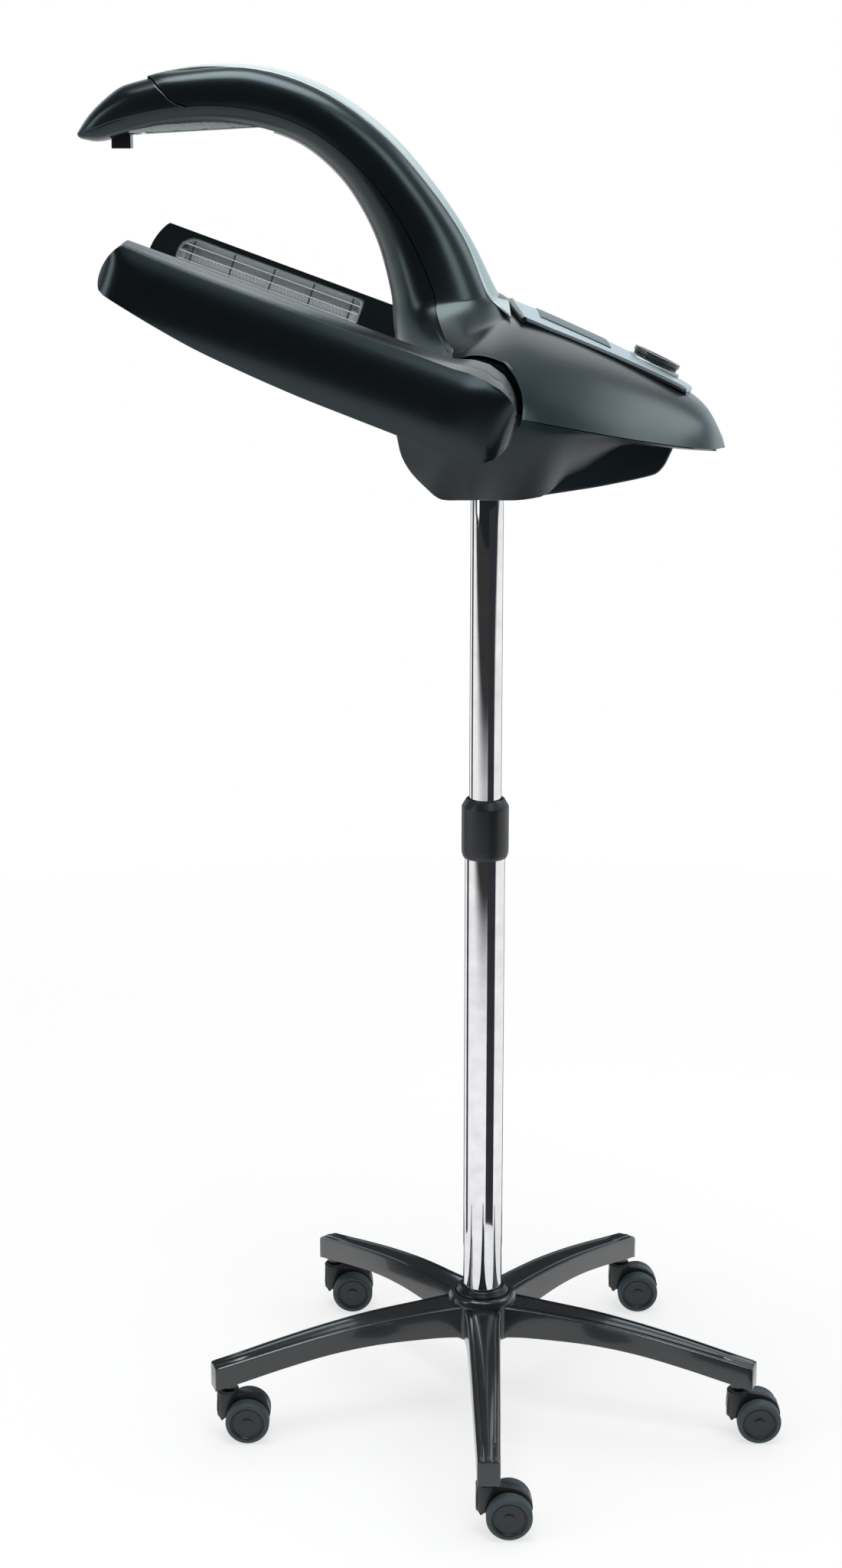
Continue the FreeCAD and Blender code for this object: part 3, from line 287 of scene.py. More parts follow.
def rounded(corners, radius, steps=3):
    """A loop of (a, b) corners with each corner replaced by a short arc."""
    loop = []
    for before, here, after in zip(corners[-1:] + corners[:-1], corners, corners[1:] + corners[:1]):
        here, before, after = Vector(here[:2]), Vector(before[:2]), Vector(after[:2])
        cut = min(radius, (before - here).length * 0.45, (after - here).length * 0.45)
        start = here + (before - here).normalized() * cut
        end = here + (after - here).normalized() * cut
        for k in range(steps + 1):
            t = k / steps
            loop.append(tuple(start * (1 - t) ** 2 + here * 2 * t * (1 - t) + end * t ** 2))
    return loop


def add(bm, other):
    """Pour one bmesh into another."""
    mesh = meshed("pour", other)
    bm.from_mesh(mesh)
    bpy.data.meshes.remove(mesh)
    return bm


def piece(name, bm, body, paint, stands_for=(), sharp=35):
    """Make the mesh an object, smooth below an angle, that rides on a body and stands for CAD nodes."""
    obj = put(name, meshed(name, bm))
    obj.data.shade_smooth()
    obj.data.set_sharp_from_angle(angle=math.radians(sharp))
    obj.data.materials.append(paint)
    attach(obj, body)
    if stands_for:
        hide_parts(*stands_for)
    return obj


def grain_group():
    """Fine moulded grain and handling marks: gives a colour, a roughness and a normal that vary."""
    group = bpy.data.node_groups.new("moulded_grain", "ShaderNodeTree")
    for name, side, kind in (("Colour", "INPUT", "Color"), ("Roughness", "INPUT", "Float"),
                             ("Grain size", "INPUT", "Float"), ("Grain depth", "INPUT", "Float"),
                             ("Marks", "INPUT", "Float"), ("Colour", "OUTPUT", "Color"),
                             ("Roughness", "OUTPUT", "Float"), ("Normal", "OUTPUT", "Vector")):
        group.interface.new_socket(name=name, in_out=side, socket_type="NodeSocket" + kind)
    given = group.nodes.new("NodeGroupInput").outputs
    spot = node_of(group, "ShaderNodeTexCoord").outputs["Object"]
    often = sum_of(group, "DIVIDE", 1.0, given["Grain size"])
    fine = node_of(group, "ShaderNodeTexNoise", Vector=spot, Scale=often, Detail=2.0)
    broad = node_of(group, "ShaderNodeTexNoise", Vector=spot, Scale=9.0, Detail=3.0, Roughness=0.6)
    wiped = sum_of(group, "MULTIPLY", ramp(group, broad.outputs[0], 0.3, 0.7, -1.0, 1.0, "LINEAR"),
                   given["Marks"])
    rough = sum_of(group, "ADD", given["Roughness"], sum_of(group, "MULTIPLY", wiped, 0.5), clamp=True)
    speck = sum_of(group, "MULTIPLY", sum_of(group, "SUBTRACT", fine.outputs[0], 0.5), 0.35)
    bright = sum_of(group, "ADD", 1.0, sum_of(group, "ADD", speck, wiped))
    shade = group.nodes.new("ShaderNodeVectorMath")
    shade.operation = "SCALE"
    feed(group, shade.inputs[0], given["Colour"])
    feed(group, shade.inputs["Scale"], bright)
    bump = node_of(group, "ShaderNodeBump", Strength=1.0, Distance=given["Grain depth"],
                   Height=fine.outputs[0])
    node_of(group, "NodeGroupOutput", Colour=shade.outputs[0], Roughness=rough, Normal=bump.outputs[0])
    return group


moulded_grain = grain_group()


def new_paint(name, **values):
    """A material, its node tree and its shader, whose inputs are set by name."""
    paint = bpy.data.materials.new(name)
    paint.use_nodes = True
    shader = paint.node_tree.nodes["Principled BSDF"]
    for key, value in values.items():
        shader.inputs[key.replace("_", " ")].default_value = value
    return paint, paint.node_tree, shader


def moulding(name, colour, roughness, grain=0.0008, depth=0.00003, marks=0.08, coat=0.0, metallic=0.0,
             ior=1.5, tint=(1.0, 1.0, 1.0)):
    """A moulded finish with the grain group in front of its shader, its sheen tinted if asked."""
    paint, tree, shader = new_paint(name, Metallic=metallic, IOR=ior, Coat_Weight=coat, Coat_Roughness=0.06,
                                    Specular_Tint=(*tint, 1.0))
    grained = tree.nodes.new("ShaderNodeGroup")
    grained.node_tree = moulded_grain
    for socket, value in zip(grained.inputs, ((*colour, 1.0), roughness, grain, depth, marks)):
        socket.default_value = value
    for given, taken in (("Colour", "Base Color"), ("Roughness", "Roughness"), ("Normal", "Normal")):
        tree.links.new(grained.outputs[given], shader.inputs[taken])
    return paint


def repaint(paint, *names):
    """Give a finish to CAD nodes that are shown as they are."""
    for name in names:
        nodes[name].data.materials.clear()
        nodes[name].data.materials.append(paint)


base_black = moulding("base_black", (0.017, 0.019, 0.021), 0.22, grain=0.004, depth=0.00004, marks=0.05,
                      coat=0.5)


def leg_row(r, top, low, half, sunk, hollow):
    """Section of a leg along -Y at distance r, with the depths of its channels and of its underside."""
    loop = [(half - LEG_WALL, low), (half, low), (half, top - 3.2), (half - 0.5, top - 1.2),
            (half - 1.8, top - 0.2), (half - 3.6, top), (half - 4.6, top - sunk), (half - 7.0, top - sunk),
            (half - 8.0, top - 0.3), (half * 0.2, top + 0.7)]
    inner = [(half - LEG_WALL, low + hollow), (half - LEG_WALL - 1.5, low + hollow * 1.1)]
    side = inner[::-1] + loop
    return [Vector((x, -r, z)) * MM for x, z in side + [(-x, z) for x, z in reversed(side)]]


LEG_STEPS = 28
rows = []
for at in between(0, len(LEG_LINE) - 1, LEG_STEPS):
    r, top, low, half = flow(LEG_LINE, at)
    fades = min(max((LEG_REACH - PLAIN_TIP - r) / 5, 0), 1)
    rows.append(leg_row(r, top, low, half, CHANNEL_DEPTH * fades, HOLLOW_DEPTH * fades + 0.2))
TIP_ROUND = 1.6
for p in rows[-1]:
    p.y += TIP_ROUND * MM
rows.append([Vector((p.x * 0.96, -(LEG_REACH - TIP_ROUND * 0.3) * MM, p.z - 0.4 * MM)) for p in rows[-1]])
rows.append([Vector((p.x * 0.85, -LEG_REACH * MM, p.z - 1.5 * MM)) for p in rows[-2]])
leg = skin(rows, closed=True)
bmesh.ops.holes_fill(leg, edges=leg.edges)
fine_line = [flow(LEG_LINE, at) for at in between(0, 7.0, 70)]
for spot in RIB_SPOTS:
    r, top, low, half = next(station for station in fine_line if station[0] >= spot)
    width = half - LEG_WALL / 2
    add(leg, box_at((-width, -r - RIB_HALF, low + RIB_FOOT), (width, -r + RIB_HALF, low + RIB_HEAD)))
boss_foot = LEG_LINE[-1][2]
add(leg, rod(10.5, (0, -CASTOR_PITCH, boss_foot), (0, -CASTOR_PITCH, boss_foot + 25), 32))
bmesh.ops.recalc_face_normals(leg, faces=leg.faces)
one_leg = meshed("one_leg", leg)

star = turned(rounded([(23.2, 88), (37.5, 86), (HUB_RADIUS, 90), (HUB_RADIUS, 128), (38, 135), (34.5, 137),
                       (31.6, 137), (31.2, 131), (23.2, 131)], 1.6))
for i in range(LEG_COUNT):
    before = len(star.verts)
    star.from_mesh(one_leg)
    star.verts.ensure_lookup_table()
    move(star, turn=Matrix.Rotation(2 * math.pi * i / LEG_COUNT, 3, "Z"), verts=star.verts[before:])
bpy.data.meshes.remove(one_leg)
piece("five_leg_base", star, "base", base_black, ["star_base"], sharp=32)

ring_black = moulding("ring_black", (0.008, 0.009, 0.010), 0.3, marks=0.06)
ring = turned(rounded([(22.7, 131.5), (31.0, 131.5), (30.6, 138), (27.5, 141), (25.5, 143.5), (22.7, 144)],
                      1.2))
piece("pole_base_ring", ring, "base", ring_black, ["base_ring"])

steel = moulding("plain_steel", (0.42, 0.43, 0.44), 0.32, grain=0.0005, depth=0.000008, marks=0.12,
                 metallic=1.0)
repaint(steel, "castor_sockets", "tube_bolt", "tube_plug")

# ---------------------------------------------------------------- castors
# Twin-wheel castors: a nylon hood with a round neck and a pointed spur, and on its axle two wheels with a
# soft grey-green tread round a dished black centre. Each hood swivels in a socket in its leg's tip.
WHEEL_RADIUS = 25.0
TREAD_FOOT = 19.0
WHEEL_INNER = 9.0
WHEEL_OUTER = 26.0
TRAIL = 22.0
HOOD_TOP = 58.5
HOOD_SIDE = [(-12.2, 56), (-13.4, 44), (-13.6, 32), (-8.2, 19.6), (-3.6, 25), (2, 17), (10, 8), (23, 5.5),
             (36, 8.5), (44.5, 18), (48, 30), (44, 42), (35, 49.5), (24, 53), (13, 54.5), (4, 56)]
NECK_RADIUS, NECK_X = 12.4, -1.2
HOOD_HALF = 6.5
WHEEL_PLAY, AXLE_RADIUS, STEM_RADIUS = 1.4, 2.9, 5.4


def taken(*helpers):
    """The evaluated bmesh of the first of some helper objects, which are then removed."""
    bm = bmesh.new()
    bm.from_object(helpers[0], bpy.context.evaluated_depsgraph_get())
    for obj in helpers:
        mesh = obj.data
        bpy.data.objects.remove(obj)
        bpy.data.meshes.remove(mesh)
    return bm


def carved(bm, cutter, operation="DIFFERENCE"):
    """One bmesh cut by, joined to or shared with another, both closed."""
    pair = [put("carve", meshed("carve", part)) for part in (bm, cutter)]
    step = pair[0].modifiers.new("carve", "BOOLEAN")
    step.operation = operation
    step.solver = "EXACT"
    step.object = pair[1]
    return taken(*pair)


def slab(outline, low, high):
    """A bmesh plate from a loop of (x, z) points in millimetres, between two values of y."""
    bm = bmesh.new()
    ring = [bm.verts.new((x * MM, low * MM, z * MM)) for x, z in outline]
    face = bm.faces.new(ring)
    made = bmesh.ops.extrude_face_region(bm, geom=[face])["geom"]
    move(bm, (0, high - low, 0), verts=[v for v in made if isinstance(v, bmesh.types.BMVert)])
    bmesh.ops.recalc_face_normals(bm, faces=bm.faces)
    return bm


def soften(bm, width, angle=30, segments=3):
    """Round every edge that is sharper than the angle."""
    sharp = [e for e in bm.edges if len(e.link_faces) == 2 and e.calc_face_angle(0) > math.radians(angle)]
    bmesh.ops.bevel(bm, geom=sharp, offset=width * MM, offset_type="OFFSET", segments=segments, profile=0.5,
                    affect="EDGES", clamp_overlap=True, material=-1)
    return bm


hood = slab(rounded(HOOD_SIDE, 3.0), -HOOD_HALF, HOOD_HALF)
hood = carved(hood, rod(NECK_RADIUS, (NECK_X, 0, 26), (NECK_X, 0, HOOD_TOP - 2)), "UNION")
hood = carved(hood, rod(11.6, (0, 0, HOOD_TOP - 3), (0, 0, HOOD_TOP)), "UNION")
for side in (-1, 1):
    near, far = ((TRAIL, side * y, WHEEL_RADIUS) for y in (HOOD_HALF + 0.1, 40))
    hood = carved(hood, rod(WHEEL_RADIUS + WHEEL_PLAY, near, far, 64))
bmesh.ops.dissolve_limit(hood, angle_limit=math.radians(2), verts=hood.verts, edges=hood.edges)
soften(hood, 0.7)
add(hood, turned(rounded([(0.01, HOOD_TOP - 4), (STEM_RADIUS, HOOD_TOP - 4), (STEM_RADIUS, 84),
                          (0.01, 85)], 0.8), steps=32))
hood_mesh = meshed("hood", hood)

castor_black = moulding("castor_black", (0.010, 0.012, 0.014), 0.42, marks=0.08)
tread_green = moulding("tread_green", (0.030, 0.046, 0.052), 0.62, grain=0.0006, depth=0.00006, marks=0.12)
centre_black = moulding("centre_black", (0.009, 0.012, 0.014), 0.36, marks=0.08)

TYRE = rounded([(TREAD_FOOT, WHEEL_INNER + 0.6), (23.4, WHEEL_INNER), (WHEEL_RADIUS, WHEEL_INNER + 1.6),
                (WHEEL_RADIUS, WHEEL_OUTER - 4.2), (WHEEL_RADIUS - 1.9, WHEEL_OUTER - 0.8),
                (20.4, WHEEL_OUTER), (TREAD_FOOT, WHEEL_OUTER - 0.5)], 1.1)
CENTRE = rounded([(0.01, WHEEL_INNER + 1), (18.8, WHEEL_INNER + 1), (18.8, WHEEL_OUTER - 0.9),
                  (17.6, WHEEL_OUTER - 0.5), (16.4, WHEEL_OUTER - 2.4), (7.0, WHEEL_OUTER - 2.9),
                  (5.6, WHEEL_OUTER - 2.0), (0.01, WHEEL_OUTER - 1.7)], 0.6)
for number in range(1, LEG_COUNT + 1):
    angle = 2 * math.pi * (number - 1) / LEG_COUNT - math.pi / 2
    place = Vector((CASTOR_PITCH * math.cos(angle), CASTOR_PITCH * math.sin(angle), 0))
    axle = place + Vector((TRAIL, 0, WHEEL_RADIUS))
    body = bmesh.new()
    body.from_mesh(hood_mesh)
    piece("castor_hood_trim_%d" % number, move(body, place), "castor_%d" % number,
          castor_black, ["castor_hood_%d" % number], sharp=40)
    tyres, centres = bmesh.new(), rod(AXLE_RADIUS, (0, 4 - WHEEL_OUTER, 0), (0, WHEEL_OUTER - 4, 0), 24)
    for side in (-1, 1):
        outwards = Matrix.Rotation(-side * math.pi / 2, 3, "X")
        add(tyres, move(turned(TYRE, steps=72), turn=outwards))
        add(centres, move(turned(CENTRE, steps=72), turn=outwards))
    piece("tyres_%d" % number, move(tyres, axle), "wheels_%d" % number, tread_green,
          ["castor_tyres_%d" % number])
    piece("wheel_centres_%d" % number, move(centres, axle), "wheels_%d" % number, centre_black,
          ["castor_wheels_%d" % number])

# ---------------------------------------------------------------- pole
# Two chromed steel tubes, one sliding in the other. A black collar screws on the lower tube's head and
# squeezes a nylon collet on the upper tube to hold the height.
LOWER_RADIUS, LOWER_FOOT, LOWER_HEAD = 22.5, 92.0, 719.0
UPPER_RADIUS, UPPER_FOOT, UPPER_HEAD = 18.0, 445.0, 1184.0
TUBE_WALL = 2.0

chrome = moulding("chrome", (0.80, 0.80, 0.82), 0.045, grain=0.02, depth=0.00001, marks=0.02, metallic=1.0)
for name, radius, foot, head, body, node in (
        ("chromed_lower_tube", LOWER_RADIUS, LOWER_FOOT, LOWER_HEAD, "base", "lower_tube"),
        ("chromed_upper_tube", UPPER_RADIUS, UPPER_FOOT, UPPER_HEAD, "mast", "upper_tube")):
    loop = [(radius - TUBE_WALL, foot), (radius, foot), (radius, head), (radius - TUBE_WALL, head)]
    piece(name, turned(rounded(loop, 0.6), steps=128), body, chrome, [node])

COLLAR_FOOT, COLLAR_HEAD, COLLAR_RADIUS = 663.0, 731.0, 26.5
collar = turned(rounded([(22.9, COLLAR_FOOT + 1), (24.2, COLLAR_FOOT),
                         (COLLAR_RADIUS - 0.4, COLLAR_FOOT + 4.5), (COLLAR_RADIUS, COLLAR_FOOT + 10),
                         (COLLAR_RADIUS, COLLAR_HEAD - 9), (COLLAR_RADIUS - 5.2, COLLAR_HEAD),
                         (19.2, COLLAR_HEAD), (18.5, COLLAR_HEAD - 3), (18.5, COLLAR_HEAD - 7.5),
                         (22.9, COLLAR_HEAD - 7.7)], 0.9), steps=128)
collar_black = moulding("collar_black", (0.010, 0.013, 0.016), 0.40, grain=0.0007, depth=0.00004,
                        marks=0.10)
piece("height_collar_grip", collar, "collar", collar_black, ["height_collar"], sharp=40)

nylon = moulding("natural_nylon", (0.35, 0.34, 0.31), 0.45, marks=0.08)
repaint(nylon, "pole_collet", "mast_foot_bush")

# ---------------------------------------------------------------- inside the head
# A steel socket bolted to a pressed plate takes the pole's top. The plate's ears carry the two arm pivots,
# and a flat spine runs from it up the arch to the top lamp. All are plain zinc-grey steel.
repaint(steel, "mast_socket", "socket_bolts", "chassis_plate", "arm_pivots", "arc_spine")

# ---------------------------------------------------------------- skin of the arch and rear body
# The head is one flowing form: an arch over the client that spreads into a wide, low body. Its shells are
# moulded in black plastic, and these two maps give any point of the outside from which they are cut.
# outer x, z, inner x, z, half width, and how far out from the inner point the lower seam runs
ARCH = [(-432, 1452, -427, 1446, 22, 0.45), (-417, 1473, -407, 1443.5, 33, 0.43),
        (-386, 1499, -374, 1451, 43, 0.33), (-342, 1514.5, -335, 1458.5, 50, 0.31),
        (-287, 1522.5, -285, 1461, 54, 0.31), (-225, 1518.5, -237, 1455, 56, 0.28),
        (-165, 1497, -196, 1439.5, 57, 0.28), (-107, 1455.7, -160, 1410, 58, 0.31),
        (-60, 1404, -136, 1377, 59, 0.35), (-20, 1346, -117, 1337, 62, 0.38),
        (7, 1293, -104, 1288, 74, 0.41)]
SQUARENESS = 2.7
SHELL_WALL = 2.5
# sections of the body at x: half the top profile from the middle outwards, as (y, z)
BODY = [(-96, [(0, 1226), (60, 1222), (112, 1214), (152, 1203), (172, 1186), (178, 1160)]),
        (-60, [(0, 1250), (60, 1244), (118, 1232), (172, 1223), (206, 1206), (218, 1160)]),
        (-20, [(0, 1272), (60, 1266), (114, 1254), (170, 1243), (213, 1220), (228, 1160)]),
        (24, [(0, 1275), (60, 1269), (110, 1260), (164, 1238), (214, 1203), (235, 1155)]),
        (70, [(0, 1257), (60, 1254), (104, 1247), (154, 1224), (202, 1186), (230, 1145)]),
        (120, [(0, 1234), (56, 1232), (96, 1226), (142, 1203), (182, 1170), (210, 1135)]),
        (165, [(0, 1212), (50, 1210), (84, 1205), (122, 1187), (156, 1158), (180, 1125)]),
        (205, [(0, 1190), (42, 1188), (70, 1184), (100, 1170), (126, 1146), (142, 1118)]),
        (234, [(0, 1168), (30, 1167), (54, 1162), (77, 1152), (94, 1134), (102, 1112)]),
        (252, [(0, 1136), (12, 1135.5), (24, 1133.5), (34, 1129.5), (41, 1121), (44, 1108)])]
BODY_GRID = [[(x, y, z) for y, z in profile] for x, profile in BODY]
PARTING_X, PARTING_Z, PARTING_SLOPE = 28.0, 1177.0, -0.2236


def arch_angle(height):
    """Angle round a section at which it stands at a share of its half height, from -1 to 1."""
    return math.copysign(math.asin(min(abs(height), 1.0) ** (SQUARENESS / 2)), height)


def arch_point(at, angle, sink=0.0):
    """Point of the arch's outside, in millimetres; sink lowers it towards the client."""
    ox, oz, ix, iz, half = flow(ARCH, at)[:5]
    middle = Vector(((ox + ix) / 2, 0, (oz + iz) / 2))
    rise = Vector((ox - ix, 0, oz - iz))
    high = rise.length / 2
    across = half * max(math.cos(angle), 0.0) ** (2 / SQUARENESS)
    along = high * math.copysign(abs(math.sin(angle)) ** (2 / SQUARENESS), angle)
    return middle + Vector((0, across, 0)) + rise.normalized() * (along - sink)


def body_point(at, out):
    """Point of the rear body's outside at a fractional section and a fractional place in its profile."""
    return Vector(flow([flow(section, out) for section in BODY_GRID], at))


def parting_z(x):
    """Height of the sloping plane at which the body's upper and lower halves meet."""
    return PARTING_Z + (x - PARTING_X) * PARTING_SLOPE


def body_edge(at):
    """Place in the profile at which a body section meets the parting plane."""
    low, high = 3.0, 5.0
    for _ in range(24):
        middle = (low + high) / 2
        p = body_point(at, middle)
        low, high = (middle, high) if p.z > parting_z(p.x) else (low, middle)
    return low


def ease(t):
    """A smooth step from 0 to 1."""
    t = min(max(t, 0.0), 1.0)
    return t * t * (3 - 2 * t)


def denser(keys, steps):
    """Key rows joined into a smooth sheet, with the given number of rows from each key to the next."""
    rows = []
    for k, count in enumerate(steps):
        for j in range(count):
            at = k + j / count
            rows.append([Vector(flow(column, at)) for column in zip(*keys)])
    rows.append([Vector(p) for p in keys[-1]])
    return rows


def whole(rows):
    """Rows from the middle outwards, in millimetres, mirrored to both sides and made a sheet in metres."""
    return skin([[p * MM for p in row[:0:-1]] + [Vector((p.x, -p.y, p.z)) * MM for p in row]
                 for row in rows])


def capped(rows):
    """A closed solid from closed loops of points in millimetres, with a flat face at each end."""
    bm = skin([[Vector(p) * MM for p in row] for row in rows], closed=True)
    bmesh.ops.holes_fill(bm, edges=[e for e in bm.edges if e.is_boundary], sides=0)
    bmesh.ops.recalc_face_normals(bm, faces=bm.faces)
    return bm


def thicken(obj, wall=SHELL_WALL, rim=0.75):
    """Give a sheet a wall inwards and smooth it, with crisp but not sharp rims."""
    thick = obj.modifiers.new("wall", "SOLIDIFY")
    thick.thickness = wall * MM
    thick.offset = -1.0
    thick.edge_crease_rim = thick.edge_crease_outer = thick.edge_crease_inner = rim
    smooth = obj.modifiers.new("smooth", "SUBSURF")
    smooth.levels = smooth.render_levels = 1
    return obj


def walled(bm, wall=SHELL_WALL):
    """A sheet with its wall and smoothing worked in, ready for openings to be cut."""
    return taken(thicken(put("walled", meshed("walled", bm)), wall))


SHEEN = (0.72, 0.95, 1.0)
satin_black = moulding("satin_black", (0.0035, 0.005, 0.006), 0.27, grain=0.0009, depth=0.00004,
                       marks=0.05, tint=SHEEN)
lower_black = moulding("lower_black", (0.005, 0.007, 0.009), 0.38, grain=0.0009, depth=0.00005, marks=0.06,
                       tint=(0.40, 0.60, 0.66))
silver = moulding("silver_paint", (0.31, 0.37, 0.38), 0.34, grain=0.0005, depth=0.00002, marks=0.03,
                  metallic=0.6)

SEAM_GAP = 0.007
STRIP_DROP = 6.5
STRIP_BED = 2.6
CAP_START, CAP_SLANT, CAP_SINK = 2.7, 0.8, 3.2
TONGUE_TURN, TONGUE_HALF, TONGUE_NEAR, TONGUE_FAR = 0.09, 4.5, 2.7, 3.9
STRIP_COLUMNS, SIDE_COLUMNS, UNDER_COLUMNS = 5, 9, 9
UPPER_COLUMNS = STRIP_COLUMNS + SIDE_COLUMNS


def strip_angle(at):
    """Angle of the silver strip's edge, which lies lower from the nose backwards and flares at its foot."""
    ox, oz, ix, iz = flow(ARCH, at)[:4]
    high = math.hypot(ox - ix, oz - iz) / 2
    drop = 1.0 + (STRIP_DROP - 1.0) * ease((at - 2.6) / 3.6) + 5 * ease(at - 9)
    return arch_angle(max(high - drop, 0.3 * high) / high)


def seam_angle(at):
    """Angle at which the arch's two shells meet."""
    return arch_angle(2 * flow(ARCH, at)[5] - 1)


def cap_line(share):
    """Where the nose cap ends, as a place along the arch, at a share of the way from crown to seam."""
    return CAP_START + CAP_SLANT * (0.5 * share + 0.5 * share ** 8)


# ---------------------------------------------------------------- upper shell
# The black outer shell, from the nose cap over the arch and down across the shoulders to the parting line.
# It is sunk along its crown, where the silver strip lies, and passes under the control panel.
def upper_row(at):
    """Half section of the upper shell on the arch, from the middle to the lower seam."""
    top, low = strip_angle(at), seam_angle(at) + SEAM_GAP
    row = [arch_point(at, a, STRIP_BED) for a in between(math.pi / 2, top + 0.01, STRIP_COLUMNS - 1)]
    row.append(arch_point(at, top - 0.01, 0.5))
    row += [arch_point(at, a) for a in between(top - 0.04, low, SIDE_COLUMNS - 1)]
    return row


def upper_edge_row(slack):
    """The upper shell's front edge along the nose cap."""
    shares = [max(j - STRIP_COLUMNS, 0) / SIDE_COLUMNS for j in range(UPPER_COLUMNS + 1)]
    return [upper_row(cap_line(share) + slack)[j] for j, share in enumerate(shares)]


def foot_rows(leg, ring):
    """Rows over which the leg's sides and rear sweep out into the body."""
    rows = []
    for drop, out in ((0.30, 0.10), (0.57, 0.32), (0.80, 0.63)):
        row = []
        for p, q, share in zip(leg, ring, between(0, 1, len(leg) - 1)):
            part = out + (drop - out) * 0.8 * (1 - share) ** 2
            row.append(p + Vector(((q.x - p.x) * part, (q.y - p.y) * part, (q.z - p.z) * drop)))
        rows.append(row)
    return rows


def body_row(inner, outer, out, columns, bend):
    """Half row on the body, from section inner at the middle to section outer, at out in its profile."""
    return [body_point(inner + (outer - inner) * share ** bend, out * share)
            for share in between(0, 1, columns)]


# rows round the panel and over the shoulders: section at the middle, at the end, place in the profile there
SHOULDER_ROWS = [(3.5, 1.52, 2.9), (3.65, 1.54, 3.4), (3.8, 1.56, 3.85), (4.05, 1.6, 0), (4.35, 2.2, 0),
                 (4.7, 2.9, 0), (5.1, 3.6, 0), (5.6, 4.4, 0), (6.2, 5.4, 0), (6.8, 6.4, 0), (7.4, 7.2, 0),
                 (8.0, 7.9, 0), (8.5, 8.5, 0), (8.8, 8.8, 0), (9.0, 9.0, 0)]
upper_keys = [upper_edge_row(0.0), upper_edge_row(0.35)]
upper_keys += [upper_row(at) for at in (4.25, 5, 6, 7, 8, 9, 10)]
shoulders = [body_row(inner, outer, out or body_edge(outer), UPPER_COLUMNS, 1.3)
             for inner, outer, out in SHOULDER_ROWS]
upper_keys += foot_rows(upper_keys[-1], shoulders[0]) + shoulders
upper_steps = [3] + [4] * 6 + [5] * 2 + [3] * (3 + len(shoulders))
upper_keys.append([Vector((p.x + 0.8, p.y * 0.98, parting_z(p.x) + 0.2)) for p in upper_keys[-1]])
upper_rows = denser(upper_keys, upper_steps)
for row in upper_rows:
    row[-1].z += 0.4 * ease((row[-1].x + 45) / 20)

PIVOT = Vector((-24.0, 0.0, 1189.0))
RECESS_RADIUS, RECESS_FACE, RECESS_MOUTH = 53.5, 222.0, 300.0
LUG_RADIUS, GROOVE_DEPTH, GROOVE_FRONT = 44.0, 34.0, -36.0


def recess(side, grow=0.0):
    """The round space an arm's end turns in, with a groove behind and above its lug, grown by a wall."""
    radius, face, mouth = RECESS_RADIUS + grow, side * (RECESS_FACE - grow), side * RECESS_MOUTH

    def round_space(radius, inner, outer):
        return rod(radius, (PIVOT.x, inner, PIVOT.z), (PIVOT.x, outer, PIVOT.z), 96)

    ahead = box_at((PIVOT.x - 150, min(face, mouth), PIVOT.z - 94),
                   (PIVOT.x, max(face, mouth), PIVOT.z + 94))
    space = carved(round_space(radius, face, mouth), ahead, "UNION")
    foot = face - side * GROOVE_DEPTH
    groove = carved(round_space(radius, foot, face + side),
                    round_space(LUG_RADIUS - grow, foot - side, face + 2 * side))
    start, back, shelf = GROOVE_FRONT - grow, PIVOT.x + radius + 5, 2.5 - grow
    rear = slab([(start, parting_z(start) + shelf), (back, parting_z(back) + shelf), (back, 1300),
                 (start, 1300)], -RECESS_MOUTH, RECESS_MOUTH)
    return carved(space, carved(groove, rear, "INTERSECT"), "UNION")


def recessed(bm):
    """Cut the recesses in which the arms' ends turn."""
    for side in (-1, 1):
        bm = carved(bm, recess(side))
    return bm


upper = recessed(walled(whole(upper_rows)))
block_rows = []
for at in between(0, 4, 24):
    half = [body_point(at, out) for out in between(0, body_edge(at), 24)]
    block_rows.append([(p.x, -p.y, p.z) for p in half[:0:-1]] + [tuple(p) for p in half])
for side in (-1, 1):
    lining = carved(recess(side, SHELL_WALL), capped(block_rows), "INTERSECT")
    add(upper, carved(lining, recess(side)))
piece("upper_shell_skin", upper, "head", satin_black, ["upper_shell"], sharp=38)

# ---------------------------------------------------------------- nose cap
# A separate pointed cover over the tip of the arch, moulded in the shells' black plastic. It clips on from
# the front, and its rear edge is sunk a few millimetres below the shell behind it.
def cap_row(share_along):
    """Half section of the cap, from the crown to the seam, at a share of its length."""
    row = []
    for share in between(0, 1, UPPER_COLUMNS):
        at = (cap_line(share) - 0.02) * share_along
        low = seam_angle(at) + SEAM_GAP
        sink = CAP_SINK * ease((at - 1.9) / 0.8)
        row.append(arch_point(at, math.pi / 2 + (low - math.pi / 2) * share, sink * (1 - 0.6 * share)))
    return row


NOSE_TIP = (-432.5, 0)
cap_rows = denser([cap_row(t) for t in (0.0, 0.12, 0.3, 0.5, 0.72, 0.86, 1.0)], [2, 3, 4, 4, 3, 3])
tip = Vector((*NOSE_TIP, 1449))
cap_rows.insert(0, [tip + (p - tip) * 0.55 for p in cap_rows[0]])
thicken(piece("nose_cap_cover", whole(cap_rows), "head", satin_black, ["nose_cap"],
              sharp=180))

# ---------------------------------------------------------------- under shell
# The inner shell of the arch, which faces the client and holds the top lamp. Below the arch it spreads into
# the body's front, between the arms.
def under_row(at):
    """Half section of the under shell on the arch, from the middle of its face to the seam."""
    low = seam_angle(at) - SEAM_GAP
    return [arch_point(at, a) for a in between(-math.pi / 2, low, UNDER_COLUMNS)]


